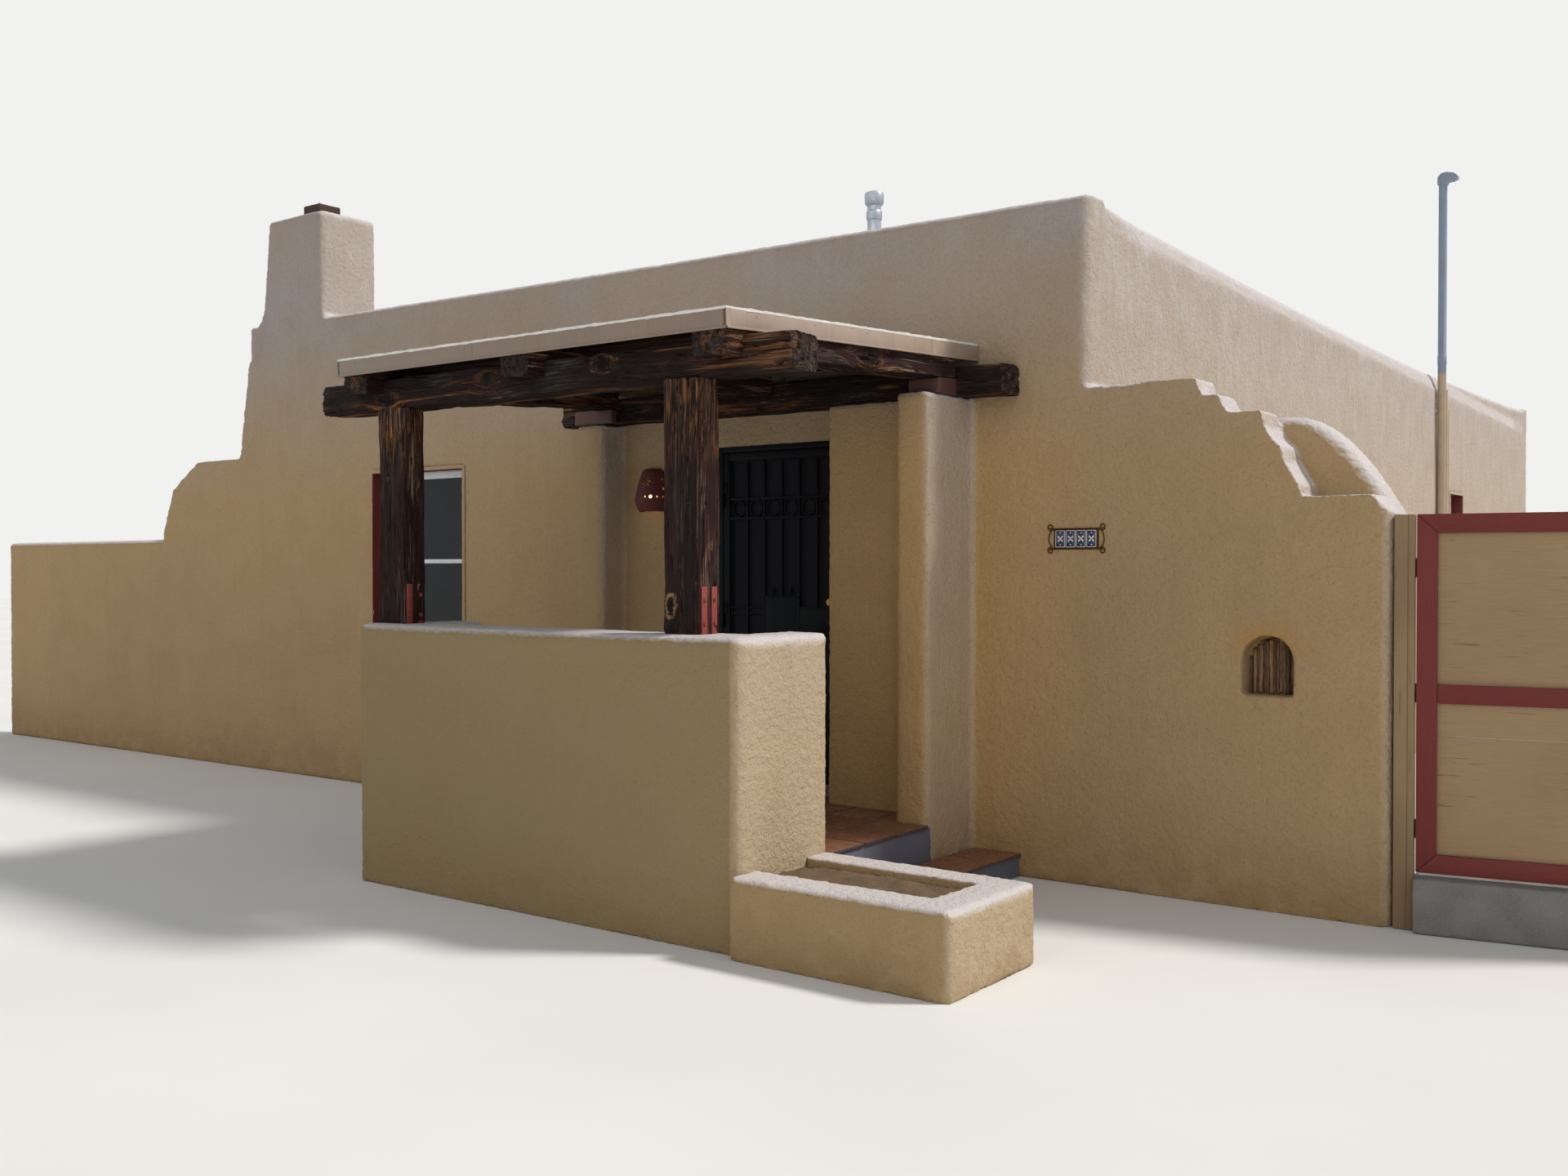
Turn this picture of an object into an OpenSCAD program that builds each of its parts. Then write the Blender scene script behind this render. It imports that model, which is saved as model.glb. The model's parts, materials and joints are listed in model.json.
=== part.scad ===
// Adobe house with a timber portal, wing walls, a side gate and a chimney.
// Units are millimetres, +Z is up and the ground is z = 0.
// The origin is on the ground, at the centre of the main block's footprint.
// The front of the house faces -Y, and the gate is at its right (+X) end.

/* [House block] */
// Width of the main block across its front
house_w = 7750; // [7300:10:9500]
// Depth of the main block from front to rear
house_d = 12300; // [10500:50:15000]
// Height of the front parapet's top above the ground
parapet_top = 3720; // [3500:10:4300]
// Drop of the parapet's top from the front to the rear
rear_dip = 100; // [0:10:200]
// Rise of the front parapet's top toward the left corner
front_rise = 46; // [0:2:120]
// Extra sag of the side parapets' tops at mid-length
side_sag = 85; // [0:5:150]
// Thickness of the adobe walls up to the roof
wall_t = 350; // [320:10:450]
// Thickness of the parapets above the roof's bearing
parapet_t = 250; // [200:10:280]
// Height of the front parapet above the roof deck
parapet_h = 350; // [260:10:450]
// Thickness of the roof deck
roof_t = 200; // [120:10:300]
// Height of the inside floor above the ground
floor_top = 370; // [340:10:450]
// Radius of the stucco's rounded top edges
edge_r = 60; // [20:5:90]
// Radius of the house's upright corners
corner_r = 75; // [20:5:100]

/* [Windows] */
// Distance of the front window from the left corner
front_window_x = 1660; // [1200:10:2200]
// Width of the front window's opening
front_window_w = 1100; // [700:10:1500]
// Height of the front window's opening
front_window_h = 1420; // [900:10:1600]
// Height of the window heads above the ground
window_head = 2470; // [2300:10:2600]
// Distance of the side windows from the front
side_window_y = 8280; // [6000:10:9500]
// Width of a side window's opening
side_window_w = 600; // [500:10:1200]
// Height of a side window's opening
side_window_h = 1000; // [800:10:1400]
// Thickness of the red casing boards
casing_t = 22; // [15:1:35]
// Depth from the wall's face to the window frame
window_recess = 110; // [60:5:150]
// Width of a window's fixed frame and sash together
frame_w = 55; // [45:1:80]
// Depth of a window frame
frame_d = 70; // [60:1:90]
// Depth of a window's sash
sash_d = 26; // [20:1:28]
// Thickness of the glass
glass_t = 6; // [4:1:20]

/* [Entry door] */
// Distance of the doorway from the house's right corner
door_x = 1560; // [1500:10:1700]
// Width of the doorway
door_w = 990; // [900:10:1100]
// Height of the doorway's head above the ground
door_head = 2476; // [2380:2:2560]
// Width of the steel jambs
jamb_w = 35; // [25:1:45]
// Thickness of the security door's leaf
leaf_t = 34; // [28:1:40]
// Clear gap round the moving leaf
leaf_gap = 6; // [5:1:10]
// Width of the leaf's stiles and rails
stile_w = 48; // [35:1:60]
// Side of the leaf's square bars
bar_w = 14; // [10:1:20]
// Height of the leaf's upper pair of cross bars above the ground
cross_bar_z = 2015; // [1900:5:2150]
// Distance between the two cross bars, which the rings fill
cross_bar_gap = 122; // [90:1:150]
// Height of the leaf's kick panel above the ground
kick_top = 1530; // [1300:10:1650]

/* [Portal] */
// Distance of the entry's left pier from the house's right corner
left_pier_x = 3610; // [3560:10:3700]
// Width of the left pier
left_pier_w = 240; // [180:10:300]
// Projection of the left pier from the facade
left_pier_d = 220; // [200:10:300]
// Distance of the right pier's outer face from the house's right corner
right_pier_x = 700; // [640:10:760]
// Width of the right pier
right_pier_w = 210; // [180:10:260]
// Projection of the right pier from the facade
right_pier_d = 487; // [400:5:560]
// Height of the piers' tops above the ground
pier_top = 2660; // [2600:5:2720]
// Width of the rear beam, which also is the side wall's projection
rear_beam_d = 200; // [160:10:240]
// Height of the rear beam
rear_beam_h = 160; // [130:5:200]
// Distance of both beams' left ends from the house's right corner
beam_left = 3760; // [3700:10:3900]
// Distance of both beams' right ends from the house's right corner
beam_right = 400; // [300:10:480]
// Distance of the front beam's front face from the facade
front_beam_y = 2110; // [2080:10:2140]
// Width of the front beam
front_beam_d = 200; // [160:10:230]
// Height of the front beam
front_beam_h = 165; // [140:5:200]
// Height of the front beam's underside above the ground
front_beam_z = 2580; // [2500:5:2620]
// Depth that the joists are let into the front beam
joist_notch = 80; // [40:5:100]
// Width of a joist
joist_w = 200; // [120:5:220]
// Height of a joist
joist_h = 140; // [120:5:180]
// Distance of the right joist's outer face from the house's right corner
joist_x = 680; // [640:10:720]
// Distance between the joists' centres
joist_pitch = 1265; // [1200:5:1300]
// Overhang of the joists past the front beam
joist_overhang = 115; // [60:5:160]
// Rise of the porch roof toward the wall, in percent
porch_rise = 4.75; // [3:0.25:6]
// Thickness of the porch roof's deck
deck_t = 56; // [40:1:80]
// Height of the metal fascia round the deck
fascia_h = 85; // [70:1:110]
// Thickness of the metal fascia
fascia_t = 20; // [10:1:30]
// Width of a porch post across the front
post_w = 212; // [160:2:240]
// Depth of a porch post
post_d = 145; // [120:5:180]
// Distance of the right post's outer face from the house's right corner
right_post_x = 920; // [880:10:1000]
// Distance of the left post's outer face from the house's right corner
left_post_x = 3225; // [3100:5:3250]
// Height of the straps at the posts' feet
strap_h = 220; // [150:10:300]
// Radius of the worn edges of posts and beams
timber_r = 12; // [6:1:20]

/* [Porch floor and walls] */
// Height of the porch floor above the ground
porch_top = 320; // [280:5:335]
// Height of the low porch wall above the ground
low_wall_top = 1400; // [1200:10:1500]
// Thickness of the low porch wall across the front
low_wall_t = 350; // [320:10:400]
// Distance of the low wall's front face from the facade
low_wall_y = 2250; // [2220:10:2300]
// Distance of the low wall's left end from the house's right corner
low_wall_left = 3260; // [3250:10:3300]
// Distance of the low wall's right end from the house's right corner
low_wall_right = 590; // [560:10:640]
// Thickness of the low wall's two returns
return_t = 250; // [200:10:300]
// Length of the low wall's two returns behind the front stretch
return_l = 350; // [200:10:500]
// Height of the lower step above the ground
step_top = 130; // [90:5:180]
// Width of the lower step's tread
step_w = 300; // [260:10:360]
// Width of the planter, away from the low wall
planter_w = 1100; // [900:10:1300]
// Depth of the planter
planter_d = 750; // [600:10:850]
// Height of the planter's rim above the ground
planter_top = 360; // [300:10:450]
// Width of the planter's rims
planter_rim = 190; // [140:10:250]
// Depth of the planting recess
planter_recess = 140; // [80:10:200]

/* [Chimney and roof pieces] */
// Distance of the chimney's foot from the left corner
chimney_x = 150; // [100:10:400]
// Width of the chimney at its foot
chimney_w = 890; // [700:10:1000]
// Depth of the chimney
chimney_d = 540; // [450:10:700]
// Height of the chimney's top above the ground
chimney_top = 4620; // [4300:10:5000]
// Inward lean of the chimney's left side from foot to top
chimney_lean = 150; // [0:5:180]
// Radius of the chimney's upright corners and rim
chimney_r = 40; // [20:5:60]
// Outer width of the square flue tile
flue_w = 215; // [180:5:260]
// Height of the flue tile above the chimney
flue_h = 120; // [60:10:200]
// Distance of the roof vent from the house's right corner
vent_x = 2730; // [2200:10:3200]
// Distance of the roof vent from the facade
vent_y = 2080; // [1500:10:3000]
// Height of the roof vent's top above the ground
vent_top = 4570; // [4300:10:4800]
// Diameter of the roof vent's pipe
vent_dia = 105; // [80:5:150]
// Distance of the service mast from the front
mast_y = 7750; // [7000:10:8050]
// Height of the service mast's top above the ground
mast_top = 5490; // [5000:10:5800]
// Diameter of the service mast
mast_dia = 76; // [60:2:90]
// Diameter of the two conduits beside the mast
conduit_dia = 28; // [20:1:34]
// Distance between the centres of the two conduits
conduit_pitch = 60; // [50:1:90]

/* [Wing walls] */
// Thickness of the wing walls
wing_t = 250; // [200:10:300]
// Length of the right wing wall
wing_l = 1550; // [1450:10:1700]
// Height of the right wing wall's first level above the ground
wing_top = 2680; // [2600:10:2760]
// Height of the right wing wall's last level above the ground
wing_low = 2055; // [1960:5:2100]
// Radius of the right wing wall's outer end
wing_end_r = 60; // [20:5:90]
// Thickness of the curved wall behind the right wing wall
curved_t = 320; // [250:10:400]
// Height of the curved wall's top above the ground
curved_top = 2480; // [2400:5:2540]
// Radius of the curved wall's soft rim
curved_rim = 80; // [30:5:110]
// Distance of the arched niche from the house's corner
niche_x = 840; // [700:10:950]
// Width of the arched niche
niche_w = 255; // [200:5:300]
// Height of the niche's floor above the ground
niche_z = 1070; // [900:10:1200]
// Height of the niche up to the crown of its arch
niche_h = 300; // [260:5:400]
// Depth of the niche
niche_d = 130; // [90:5:160]
// Number of sticks in the niche
stick_count = 7; // [4:1:9]
// Length of the left wing wall
left_wing_l = 1350; // [1200:10:1600]
// Height of the left wing wall above the ground
left_wing_top = 2650; // [2500:10:2760]
// Length of the garden wall that goes on to the left
garden_l = 2900; // [1500:50:4500]
// Height of the garden wall above the ground
garden_top = 1970; // [1700:10:2100]

/* [Wall fittings] */
// Distance of the lamp's centre from the house's right corner
lamp_x = 3100; // [2750:10:3220]
// Height of the lamp's open lower rim above the ground
lamp_z = 2080; // [1700:10:2150]
// Height of the lamp
lamp_h = 285; // [220:5:320]
// Greatest radius of the lamp
lamp_r = 130; // [100:2:140]
// Distance of the number plaque's centre from the house's right corner
plaque_x = 60; // [0:5:300]
// Height of the number plaque's centre above the ground
plaque_z = 1864; // [1600:2:2100]
// Width of the number plaque's plate
plaque_w = 262; // [200:2:300]
// Height of the number plaque's plate
plaque_h = 116; // [90:2:140]
// Height of the door knob above the ground
knob_z = 1500; // [1350:5:1550]

/* [Gate] */
// Angle that the gate's line turns back from the front
gate_skew = 9; // [0:0.5:15]
// Width of the gate leaf
gate_w = 1220; // [900:10:1400]
// Height of the gate leaf
gate_h = 1682; // [1400:2:1750]
// Height of the gate leaf's underside above the ground
gate_z = 276; // [270:2:320]
// Width of the gate's frame boards
gate_board_w = 89; // [70:1:110]
// Thickness of the gate's frame boards
gate_board_t = 19; // [15:1:25]
// Thickness of the gate's plywood panels
gate_ply_t = 16; // [9:1:20]
// Height of the gate's middle rail above the leaf's underside
gate_rail_z = 797; // [600:1:900]
// Width of a gate post
gate_post_w = 90; // [80:1:120]
// Depth of a gate post
gate_post_d = 90; // [80:1:120]
// Clear gap at each side of the gate leaf
gate_gap = 8; // [6:1:15]
// Height of the concrete sill under the gate
gate_sill_top = 260; // [200:5:262]
// Depth of the concrete sill under the gate
gate_sill_d = 200; // [150:10:260]

/* [Hidden] */
$fn = 48;
front_y = -house_d / 2;
rear_y = house_d / 2;
right_x = house_w / 2;
left_x = -house_w / 2;
roof_top = parapet_top - parapet_h;
bearing_z = roof_top - roof_t;
door_right = right_x - door_x;
door_left = door_right - door_w;
sill_top = floor_top + 20;
leaf_w = door_w - 2 * jamb_w - 2 * leaf_gap;
leaf_x = door_left + jamb_w + leaf_gap;
leaf_z = sill_top + leaf_gap;
leaf_h = door_head - jamb_w - leaf_gap - leaf_z;
leaf_y = front_y + 2;
door_pin_r = 8;
door_pin_y = front_y - door_pin_r - 1;
hinge_plate_t = 6;
stop_d = 14;
knuckle_gap = 0.3;
door_knuckle_h = 80;
door_hinges = [180, leaf_h / 2, leaf_h - 260];
door_pin_x = leaf_x - leaf_gap / 2;
window_sill = window_head - front_window_h;
side_sill = window_head - side_window_h;
rise = porch_rise / 100;
beam_y = front_y - front_beam_y;
joist_y0 = beam_y - joist_overhang;
joist_y1 = front_y - rear_beam_d;
beam_mid_y = beam_y + front_beam_d / 2;
joist_z0 = front_beam_z + front_beam_h - joist_notch - rise * (beam_mid_y - joist_y0);
joist_z1 = joist_z0 + rise * (joist_y1 - joist_y0);
joist_right_x = right_x - joist_x - joist_w;
roof_edge_right = joist_right_x + joist_w;
roof_edge_left = joist_right_x - 2 * joist_pitch;
deck_z0 = joist_z0 + joist_h;
post_set_back = 20;
post_y = front_y - low_wall_y + (low_wall_t - post_d) / 2 + post_set_back;
return_y = front_y - low_wall_y + low_wall_t;
step_x = right_x - right_pier_x;
flue_x = chimney_x + (chimney_lean + chimney_w) / 2;
flue_seat = 150;
seat_gap = 0.1;
rim_w = 25;
sash_overlap = 14;
pier_edge = 20;
pier_corner = 45;
low_wall_edge = 50;
low_wall_corner = 60;
planter_edge = 35;
planter_out = 60;
mast_scale = mast_dia / 76;
mast_head_h = 120 * mast_scale;
left_wing_head = left_wing_top + 800;
curved_flat = wing_l - 550;
curved_fall = 520;
curved_drop = 540;
gate_x = right_x + wing_l + 15;
gate_y = front_y + 10;
gate_leaf_x = gate_post_w + gate_gap;
gate_pin_r = 9;
gate_pin_x = gate_post_w + gate_pin_r + 0.5;
gate_pin_y = gate_board_t + gate_ply_t + gate_pin_r + knuckle_gap;
gate_plate_t = 5;
gate_strap_l = 70;
gate_knuckle_h = 45;
gate_hinge_z = [gate_z + 200, gate_z + gate_h / 2, gate_z + gate_h - 250];

// Height of one sash in a window opening of height h
function sash_h(h) = h / 2 - casing_t - rim_w + sash_overlap;

// Height of the front parapet's top at the distance x from the left corner
function front_top(x) = parapet_top + front_rise * pow(1 - x / house_w, 2);

// Height of a side parapet's top at the share s of its length, raised by lift at the front
function side_top(s, lift) = parapet_top - rear_dip * s - side_sag * sin(180 * s) + lift * pow(1 - s, 2);

// Solid skinned over rings, which are lists of as many points each, with flat first and last rings
module skin(rings) {
    n = len(rings[0]);
    last = len(rings) - 1;
    sides = [for (k = [0:last - 1]) for (j = [0:n - 1])
        let (a = k * n + j, b = k * n + (j + 1) % n) [a, a + n, b + n, b]];
    ends = [[for (j = [0:n - 1]) j], [for (j = [n - 1:-1:0]) last * n + j]];
    polyhedron([for (ring = rings) each ring], concat(sides, ends));
}

// Rectangle with its two top corners rounded, each by its own radius
module round_top(w, h, r1, r2) {
    difference() {
        square([w, h]);
        if (r1 > 0) translate([r1, h - r1]) mirror([1, 0]) round_waste(r1);
        if (r2 > 0) translate([w - r2, h - r2]) round_waste(r2);
    }
}

// What a quarter round of radius r removes from a square corner
module round_waste(r) {
    difference() {
        square([r + 1, r + 1]);
        circle(r);
    }
}

// Stucco block with rounded top edges, and round upright corners where corners names a radius.
// tops gives the radii of the left, right, front and rear top edges.
// corners gives those of the upright corners, counted anticlockwise from the front left one.
module stucco_block(size, tops, corners) {
    intersection() {
        translate([0, size[1], 0]) rotate([90, 0, 0]) linear_extrude(size[1])
            round_top(size[0], size[2], tops[0], tops[1]);
        rotate([90, 0, 90]) linear_extrude(size[0]) round_top(size[1], size[2], tops[2], tops[3]);
        linear_extrude(size[2]) difference() {
            square([size[0], size[1]]);
            for (k = [0:3]) let (r = corners[k])
                if (r > 0) translate([k == 1 || k == 2 ? size[0] - r : r, k > 1 ? size[1] - r : r])
                    rotate(90 * (k + 2)) round_waste(r);
        }
    }
}

// Section of a parapet wall, with the ledge that the roof deck bears on
module parapet_section(top) {
    square([wall_t, bearing_z]);
    round_top(parapet_t, top, edge_r, edge_r);
}

// Straight stretch of wall along X, with its outer face at y = 0 toward -Y
module parapet_stretch(l, top) {
    rotate([90, 0, 90]) linear_extrude(l) parapet_section(top);
}

// Waste that rounds an upright corner from z0 upward
module corner_waste(z0, turn) {
    translate([0, 0, z0]) rotate(turn) translate([-corner_r, -corner_r, 0])
        linear_extrude(parapet_top) round_waste(corner_r);
}

// Outline of the arched niche, drawn in XZ as a 2D shape
module niche_outline() {
    r = niche_w / 2;
    square([niche_w, niche_h - r]);
    translate([r, niche_h - r]) circle(r);
}

module floor_slab() {
    color("#8f8a80") translate([left_x + wall_t, front_y + wall_t, 0])
        cube([house_w - 2 * wall_t, house_d - 2 * wall_t, floor_top]);
}

module front_wall_left() {
    color("#c4a77d") difference() {
        front_stretch(0, door_left - left_x);
        translate([left_x + front_window_x, front_y - 1, window_sill])
            cube([front_window_w, wall_t + 2, front_window_h]);
        chimney_body();
        translate([left_x, front_y, 0]) corner_waste(left_wing_head, 180);
    }
}

module front_wall_right() {
    color("#c4a77d") difference() {
        front_stretch(door_right - left_x, house_w);
        translate([right_x, front_y, 0]) corner_waste(wing_top, 270);
    }
}

module wall_over_door() {
    color("#c4a77d") intersection() {
        front_stretch(door_left - left_x, door_right - left_x);
        translate([door_left - 1, front_y - 1, door_head]) cube([door_w + 2, wall_t + 2, parapet_top]);
    }
}

// Points of a parapet's section, from the inner foot over the rounded top to the outer foot.
// The second value counts from the centres of the top's rounded edges.
parapet_ring = concat(
    [for (i = [0:6]) [-parapet_t + edge_r - edge_r * cos(15 * i), edge_r * sin(15 * i)]],
    [for (i = [0:6]) [-edge_r + edge_r * sin(15 * i), edge_r * cos(15 * i)]]);

// Parapet swept along Y over pairs of a distance and the top's height there, outer face at x = 0 toward +X
module swept_parapet(tops) {
    skin([for (t = tops) concat([[-parapet_t, t[0], bearing_z]],
        [for (p = parapet_ring) [p[0], t[0], t[1] - edge_r + p[1]]], [[0, t[0], bearing_z]])]);
}

// Stretch of the front wall between two distances from the left corner
module front_stretch(x0, x1) {
    steps = 4;
    translate([left_x, front_y, 0]) {
        translate([x0, 0, 0]) cube([x1 - x0, wall_t, bearing_z]);
        rotate(-90) swept_parapet([for (k = [0:steps])
            let (x = x0 + (x1 - x0) * k / steps) [x, front_top(x)]]);
    }
}

// Side wall with its outer face at x = 0 toward +X and its front at y = 0. Its top is raised by lift there.
module side_wall(lift) {
    steps = 12;
    l = house_d - 2 * parapet_t;
    difference() {
        union() {
            translate([-wall_t, wall_t, 0]) cube([wall_t, house_d - 2 * wall_t, bearing_z]);
            swept_parapet([for (k = [0:steps])
                let (y = parapet_t + l * k / steps) [y, side_top(y / house_d, lift)]]);
        }
        translate([-wall_t - 1, side_window_y, side_sill]) cube([wall_t + 2, side_window_w, side_window_h]);
    }
}

module right_wall() {
    color("#cdb999") translate([right_x, front_y, 0]) side_wall(0);
}

module left_wall() {
    color("#cdb999") difference() {
        translate([left_x, front_y, 0]) mirror([1, 0, 0]) side_wall(front_rise);
        chimney_body();
    }
}

module rear_wall() {
    color("#cdb999") difference() {
        translate([right_x, rear_y, 0]) rotate(180) parapet_stretch(house_w, parapet_top - rear_dip);
        translate([-front_window_w / 2, rear_y - wall_t - 1, window_sill])
            cube([front_window_w, wall_t + 2, front_window_h]);
        translate([right_x, rear_y, 0]) corner_waste(0, 0);
        translate([left_x, rear_y, 0]) corner_waste(0, 90);
    }
}

module roof_deck() {
    color("#b9b4a8") translate([left_x + parapet_t, front_y + parapet_t, bearing_z])
        cube([house_w - 2 * parapet_t, house_d - 2 * parapet_t, roof_t]);
}

// Ring of points at the height z round a rectangle with corners of radius r
function block_ring(x0, x1, y0, y1, r, z) = [
    for (c = [[x1 - r, y1 - r, 0], [x0 + r, y1 - r, 90], [x0 + r, y0 + r, 180], [x1 - r, y0 + r, 270]])
        for (a = [0:22.5:90]) [c[0] + r * cos(c[2] + a), c[1] + r * sin(c[2] + a), z]];

// The chimney's shape without its flue: an upright foot among the parapets, then a leaning left side and a
// soft rim. Each pair is the height above the foot, as a share of the whole, and the share of the lean there.
module chimney_body() {
    h = chimney_top - roof_top;
    foot = 0.31;
    foot_r = 8;
    right_lean = 12;
    shape = [[0, 0], [foot, 0], [0.35, 0.2], [0.42, 0.42], [0.6, 0.62], [1 - chimney_r / h, 1]];
    translate([left_x + chimney_x, front_y, roof_top]) skin(concat(
        [for (s = shape) block_ring(chimney_lean * s[1], chimney_w - right_lean * s[1], 0, chimney_d,
            s[0] > foot ? chimney_r : foot_r, s[0] * h)],
        [for (a = [22.5:22.5:90])
            let (d = chimney_r * (1 - cos(a)), r = max(foot_r, chimney_r - d))
            block_ring(chimney_lean + d, chimney_w - right_lean - d, d, chimney_d - d, r,
                h - chimney_r * (1 - sin(a)))]));
}

module chimney() {
    color("#c4a77d") difference() {
        chimney_body();
        translate([left_x + flue_x - flue_w / 2, front_y + (chimney_d - flue_w) / 2, chimney_top - flue_seat])
            cube([flue_w, flue_w, flue_seat + 1]);
    }
}

module chimney_flue() {
    wall = 22;
    color("#4a3a30") translate([left_x + flue_x, front_y + chimney_d / 2, chimney_top - flue_seat])
        linear_extrude(flue_seat + flue_h) difference() {
            square(flue_w, center = true);
            square(flue_w - 2 * wall, center = true);
        }
}

module roof_vent() {
    h = vent_top - roof_top;
    cap_t = 10;
    cap_h = 95;
    collar_h = 60;
    collar_drop = 210;
    color("#b0b8c4") translate([right_x - vent_x, front_y + vent_y, roof_top]) {
        cylinder(h = 12, d = 3 * vent_dia);
        cylinder(h = h - cap_t, d = vent_dia);
        translate([0, 0, h - collar_drop]) cylinder(h = collar_h, d = 1.16 * vent_dia);
        translate([0, 0, h - cap_h]) cylinder(h = cap_h, d = 1.4 * vent_dia);
    }
}

// Hooded head of the service mast, drawn from its side for a 76 mm pipe and reaching out toward +X
module mast_head() {
    soft = 12;
    half_w = 0.58 * mast_dia;
    reach = 1.25 * mast_dia;
    intersection() {
        translate([0, mast_dia, 0]) rotate([90, 0, 0]) linear_extrude(2 * mast_dia)
            offset(r = soft) offset(delta = -soft) polygon(mast_scale * [
                [-44, 0],
                [44, 0],
                [44, 22],
                [136, 40],
                [136, 74],
                [100, 104],
                [34, 120],
                [-12, 114],
                [-44, 78]
            ]);
        linear_extrude(2 * mast_dia) offset(r = half_w) square([reach, 1]);
    }
}

module service_mast() {
    stand_off = 6;
    clamp_h = 40;
    socket = 20;
    color("#8e99a8") translate([right_x + mast_dia / 2 + stand_off, front_y + mast_y, 0]) {
        cylinder(h = mast_top - mast_head_h + socket, d = mast_dia);
        translate([0, 0, mast_top - mast_head_h]) mast_head();
        for (z = [900, 2100, 3200])
            translate([-mast_dia / 2 - stand_off, -mast_dia * 0.75, z])
                cube([mast_dia * 0.6, mast_dia * 1.5, clamp_h]);
    }
}

module wall_conduits() {
    r = conduit_dia / 2;
    from_mast = 330;
    below_edge = 60;
    second_lower = 180;
    strap_h = 25;
    ear = 8;
    color("#c9ae8a") for (i = [0, 1])
        translate([right_x + r, front_y + mast_y + from_mast + conduit_pitch * i, 0]) {
            cylinder(h = side_top(mast_y / house_d, 0) - edge_r - below_edge - second_lower * i, r = r);
            for (z = [1200, 2700]) translate([-r, -r - ear, z]) cube([r, 2 * (r + ear), strap_h]);
        }
}

// Front outline of the right wing wall: level, two small steps, a worn slope and a low end
module wing_outline() {
    wear = 8;
    spare = 50;
    intersection() {
        square([wing_l, wing_top]);
        offset(r = wear) offset(delta = -wear) polygon([
            [-spare, -spare],
            [wing_l, -spare],
            [wing_l, wing_low - 90],
            [wing_l - 42, wing_low - 50],
            [wing_l - 85, wing_low],
            [1130, wing_low],
            [1122, wing_low + 58],
            [1082, wing_low + 120],
            [1050, wing_low + 175],
            [1032, wing_low + 250],
            [988, wing_low + 290],
            [950, wing_low + 358],
            [935, wing_top - 190],
            [762, wing_top - 185],
            [714, wing_top - 92],
            [630, wing_top - 86],
            [596, wing_top],
            [-spare, wing_top]
        ]);
    }
}

module right_wing_wall() {
    color("#c4a77d") translate([right_x, front_y, 0]) difference() {
        intersection() {
            translate([0, wing_t, 0]) rotate([90, 0, 0]) linear_extrude(wing_t) wing_outline();
            stucco_block([wing_l, wing_t, wing_top], [0, 0, 0, 0], [0, wing_end_r, wing_end_r, 0]);
        }
        translate([niche_x, niche_d, niche_z]) rotate([90, 0, 0]) linear_extrude(niche_d + 1) niche_outline();
    }
}

// Outline of the curved wall at the depth y: level, then falling ever more steeply.
// The rim is drawn in by d, square to the fall, and runs out toward the low end.
function curved_ring(y, d) = concat(
    [[0, y, 0], [curved_flat + curved_fall, y, 0]],
    [for (i = [12:-1:0]) let (
        s = i / 12,
        slope = 1.8 * curved_drop * pow(s, 0.8) / curved_fall,
        inset = d * min(1, 7 * (1 - s)) / sqrt(1 + slope * slope))
        [curved_flat + curved_fall * s - inset * slope, y, curved_top - curved_drop * pow(s, 1.8) - inset]],
    [[0, y, curved_top - d]]);

module curved_wing_wall() {
    r = curved_rim;
    color("#c4a77d") translate([right_x, front_y + wing_t, 0]) skin(concat(
        [for (a = [0:18:90]) curved_ring(r * (1 - cos(a)), r * (1 - sin(a)))],
        [for (a = [90:-18:0]) curved_ring(curved_t - r * (1 - cos(a)), r * (1 - sin(a)))]));
}

module niche_sticks() {
    pitch = niche_w / stick_count;
    arch = niche_w / 2;
    color("#6b5238") for (i = [0:stick_count - 1]) {
        x = pitch * (i + 0.5);
        r = pitch / 2 - 1.5 - 1.2 * (i % 3);
        reach = abs(x - arch) + r;
        translate([right_x + niche_x + x, front_y + niche_d - r - seat_gap, niche_z])
            cylinder(h = niche_h - arch + sqrt(arch * arch - reach * reach) - 4, r = r, $fn = 24);
    }
}

module left_wing_wall() {
    low = garden_top;
    color("#c4a77d") translate([left_x, front_y + wing_t, 0]) rotate([90, 0, 0]) linear_extrude(wing_t)
        polygon([
            [0, 0],
            [0, left_wing_head],
            [-135, left_wing_top],
            [-790, left_wing_top],
            [-1180, left_wing_top - 230],
            [-1270, left_wing_top - 420],
            [-left_wing_l, low + 60],
            [-left_wing_l, 0]
        ]);
}

module garden_wall() {
    color("#c4a77d") translate([left_x - left_wing_l - garden_l, front_y, 0])
        stucco_block([garden_l, wing_t, garden_top], [0, 0, edge_r, edge_r], [0, 0, 0, 0]);
}

module left_pier() {
    color("#c4a77d") translate([right_x - left_pier_x, front_y - left_pier_d, 0])
        stucco_block([left_pier_w, left_pier_d, pier_top], [pier_edge, pier_edge, pier_edge, 0],
            [pier_corner, pier_corner, 0, 0]);
}

module right_pier() {
    color("#c4a77d") translate([right_x - right_pier_x - right_pier_w, front_y - right_pier_d, 0])
        stucco_block([right_pier_w, right_pier_d, pier_top], [pier_edge, pier_edge, pier_edge, 0],
            [pier_corner, pier_corner, 0, 0]);
}

module entry_side_wall() {
    w = door_x - right_pier_x - right_pier_w;
    edge = 12;
    corner = 35;
    color("#c4a77d") translate([door_right, front_y - rear_beam_d, 0])
        stucco_block([w, rear_beam_d, pier_top], [edge, 0, edge, 0], [corner, 0, 0, 0]);
}

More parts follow.
